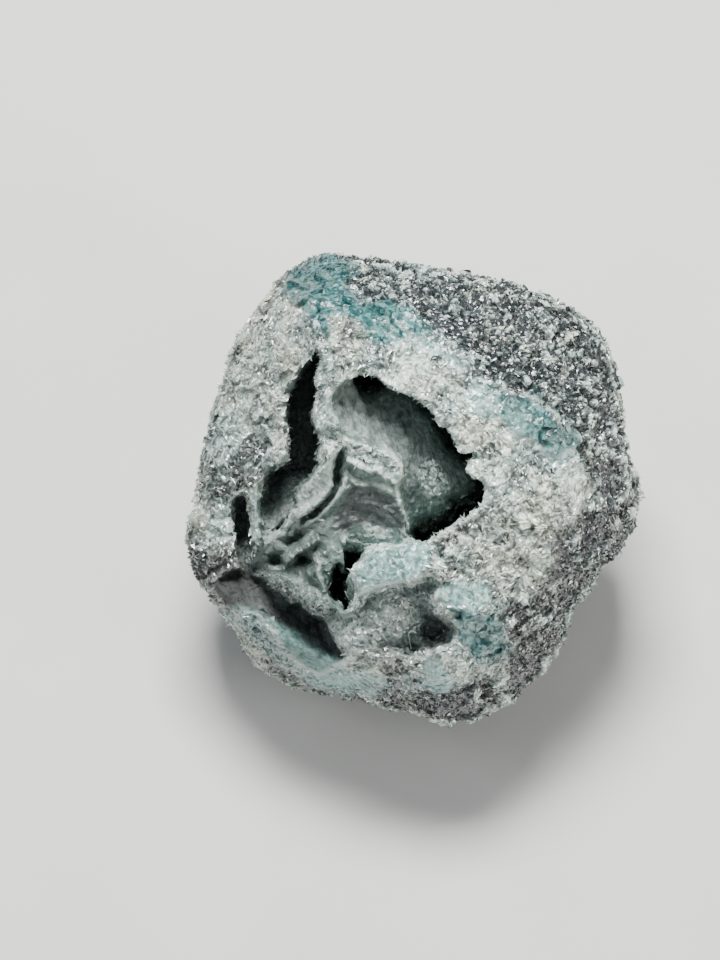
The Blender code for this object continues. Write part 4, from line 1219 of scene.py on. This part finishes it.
def mottled_material(name, scale, dark, light, roughness):
    """A dull grey that varies a little, for the lint and the floor."""
    graph = Graph(name)
    stops = [(0.3, dark), (0.7, light)]
    colour = graph.ramp(graph.speckle(graph.place, scale), stops)
    return graph.finish({"Base Color": colour, "Roughness": roughness})


# -------- lint, floor, light and camera
def build_lint(body, material):
    """A curled fibre of lint lying in the lower recess."""
    curve = bpy.data.curves.new("lint", "CURVE")
    curve.dimensions = "3D"
    curve.bevel_depth = LINT_RADIUS / 1000
    curve.bevel_resolution = 2
    curve.use_fill_caps = True
    spline = curve.splines.new("NURBS")
    spline.points.add(len(LINT) - 1)
    spline.use_endpoint_u = True
    spline.order_u = 4
    places = to_world(np.array([(u, v, lint_rest(body, u, v)) for u, v in LINT]))
    for point, place in zip(spline.points, places):
        point.co = (*place, 1)
    return dressed("lint", curve, material)


def lint_rest(body, u, v):
    """Height in the face frame at which a fibre rests on the body at (u, v)."""
    above, below = to_world(np.array([(u, v, 5.0), (u, v, 4.0)]))
    hit, place, _, _ = body.ray_cast(Vector(above), Vector(below - above).normalized())
    assert hit, "the lint lies off the stone"
    return to_face(np.array([place]))[0, 2] + LINT_LIFT


def build_floor():
    bpy.ops.mesh.primitive_plane_add(size=FLOOR_SIZE)
    floor = bpy.context.object
    floor.name = "floor"
    pale = (0.74, 0.74, 0.73), (0.78, 0.78, 0.77)
    floor.data.materials.append(mottled_material("floor", 0.3, *pale, 0.8))


def light_scene():
    """Soft boxes that look at the stone, and a dim even sky."""
    for name, direction, distance, size, watts, colour in LIGHTS:
        lamp = bpy.data.lights.new(name, "AREA")
        lamp.shape = "RECTANGLE"
        lamp.size, lamp.size_y = size
        lamp.energy = watts
        lamp.color = colour
        towards = (LEAN @ Vector(direction)).normalized()
        obj = add_object(name, lamp)
        obj.location = Vector((0, 0, LOOKED_AT)) + towards * distance
        obj.rotation_euler = towards.to_track_quat("Z", "Y").to_euler()
    world = bpy.data.worlds.new("studio")
    bpy.context.scene.world = world
    world.use_nodes = True
    background = world.node_tree.nodes["Background"]
    background.inputs["Color"].default_value = SKY
    background.inputs["Strength"].default_value = SKY_STRENGTH


def add_camera():
    """Looks straight onto the broken face, with the stone as far off centre as in the photo."""
    lens = bpy.data.cameras.new("camera")
    lens.sensor_fit = "VERTICAL"
    lens.sensor_height = SENSOR
    lens.lens = SENSOR * CAMERA_DISTANCE / (PICTURE_HEIGHT * PIXEL)
    lens.clip_start = 0.001
    aside = (PICTURE_WIDTH / 2 - STONE_X) * PIXEL
    above = (STONE_Y - PICTURE_HEIGHT / 2) * PIXEL
    camera = add_object("camera", lens)
    camera.location = to_world(np.array([[aside, above, IN_SCALE_AT + CAMERA_DISTANCE]]))[0]
    camera.rotation_euler = LEAN.to_euler()
    bpy.context.scene.camera = camera


# -------- the scene
def dress():
    stone, crystal = stone_material(), crystal_material()
    body = build_body(stone)
    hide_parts("rough_diamond")
    pieces = [body]
    grows = {"crystals_face": on_face, "crystals_skin": on_skin, "crystals_back": on_back}
    for name, *growth in COATS:
        pieces.append(build_crystals(name, body, crystal, grows[name], *growth))
    white = (0.75, 0.75, 0.73), (0.95, 0.95, 0.93)
    pieces.append(build_lint(body, mottled_material("lint", 60.0, *white, 0.7)))
    for piece in pieces:
        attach(piece, "root")


dress()
build_floor()
light_scene()
add_camera()
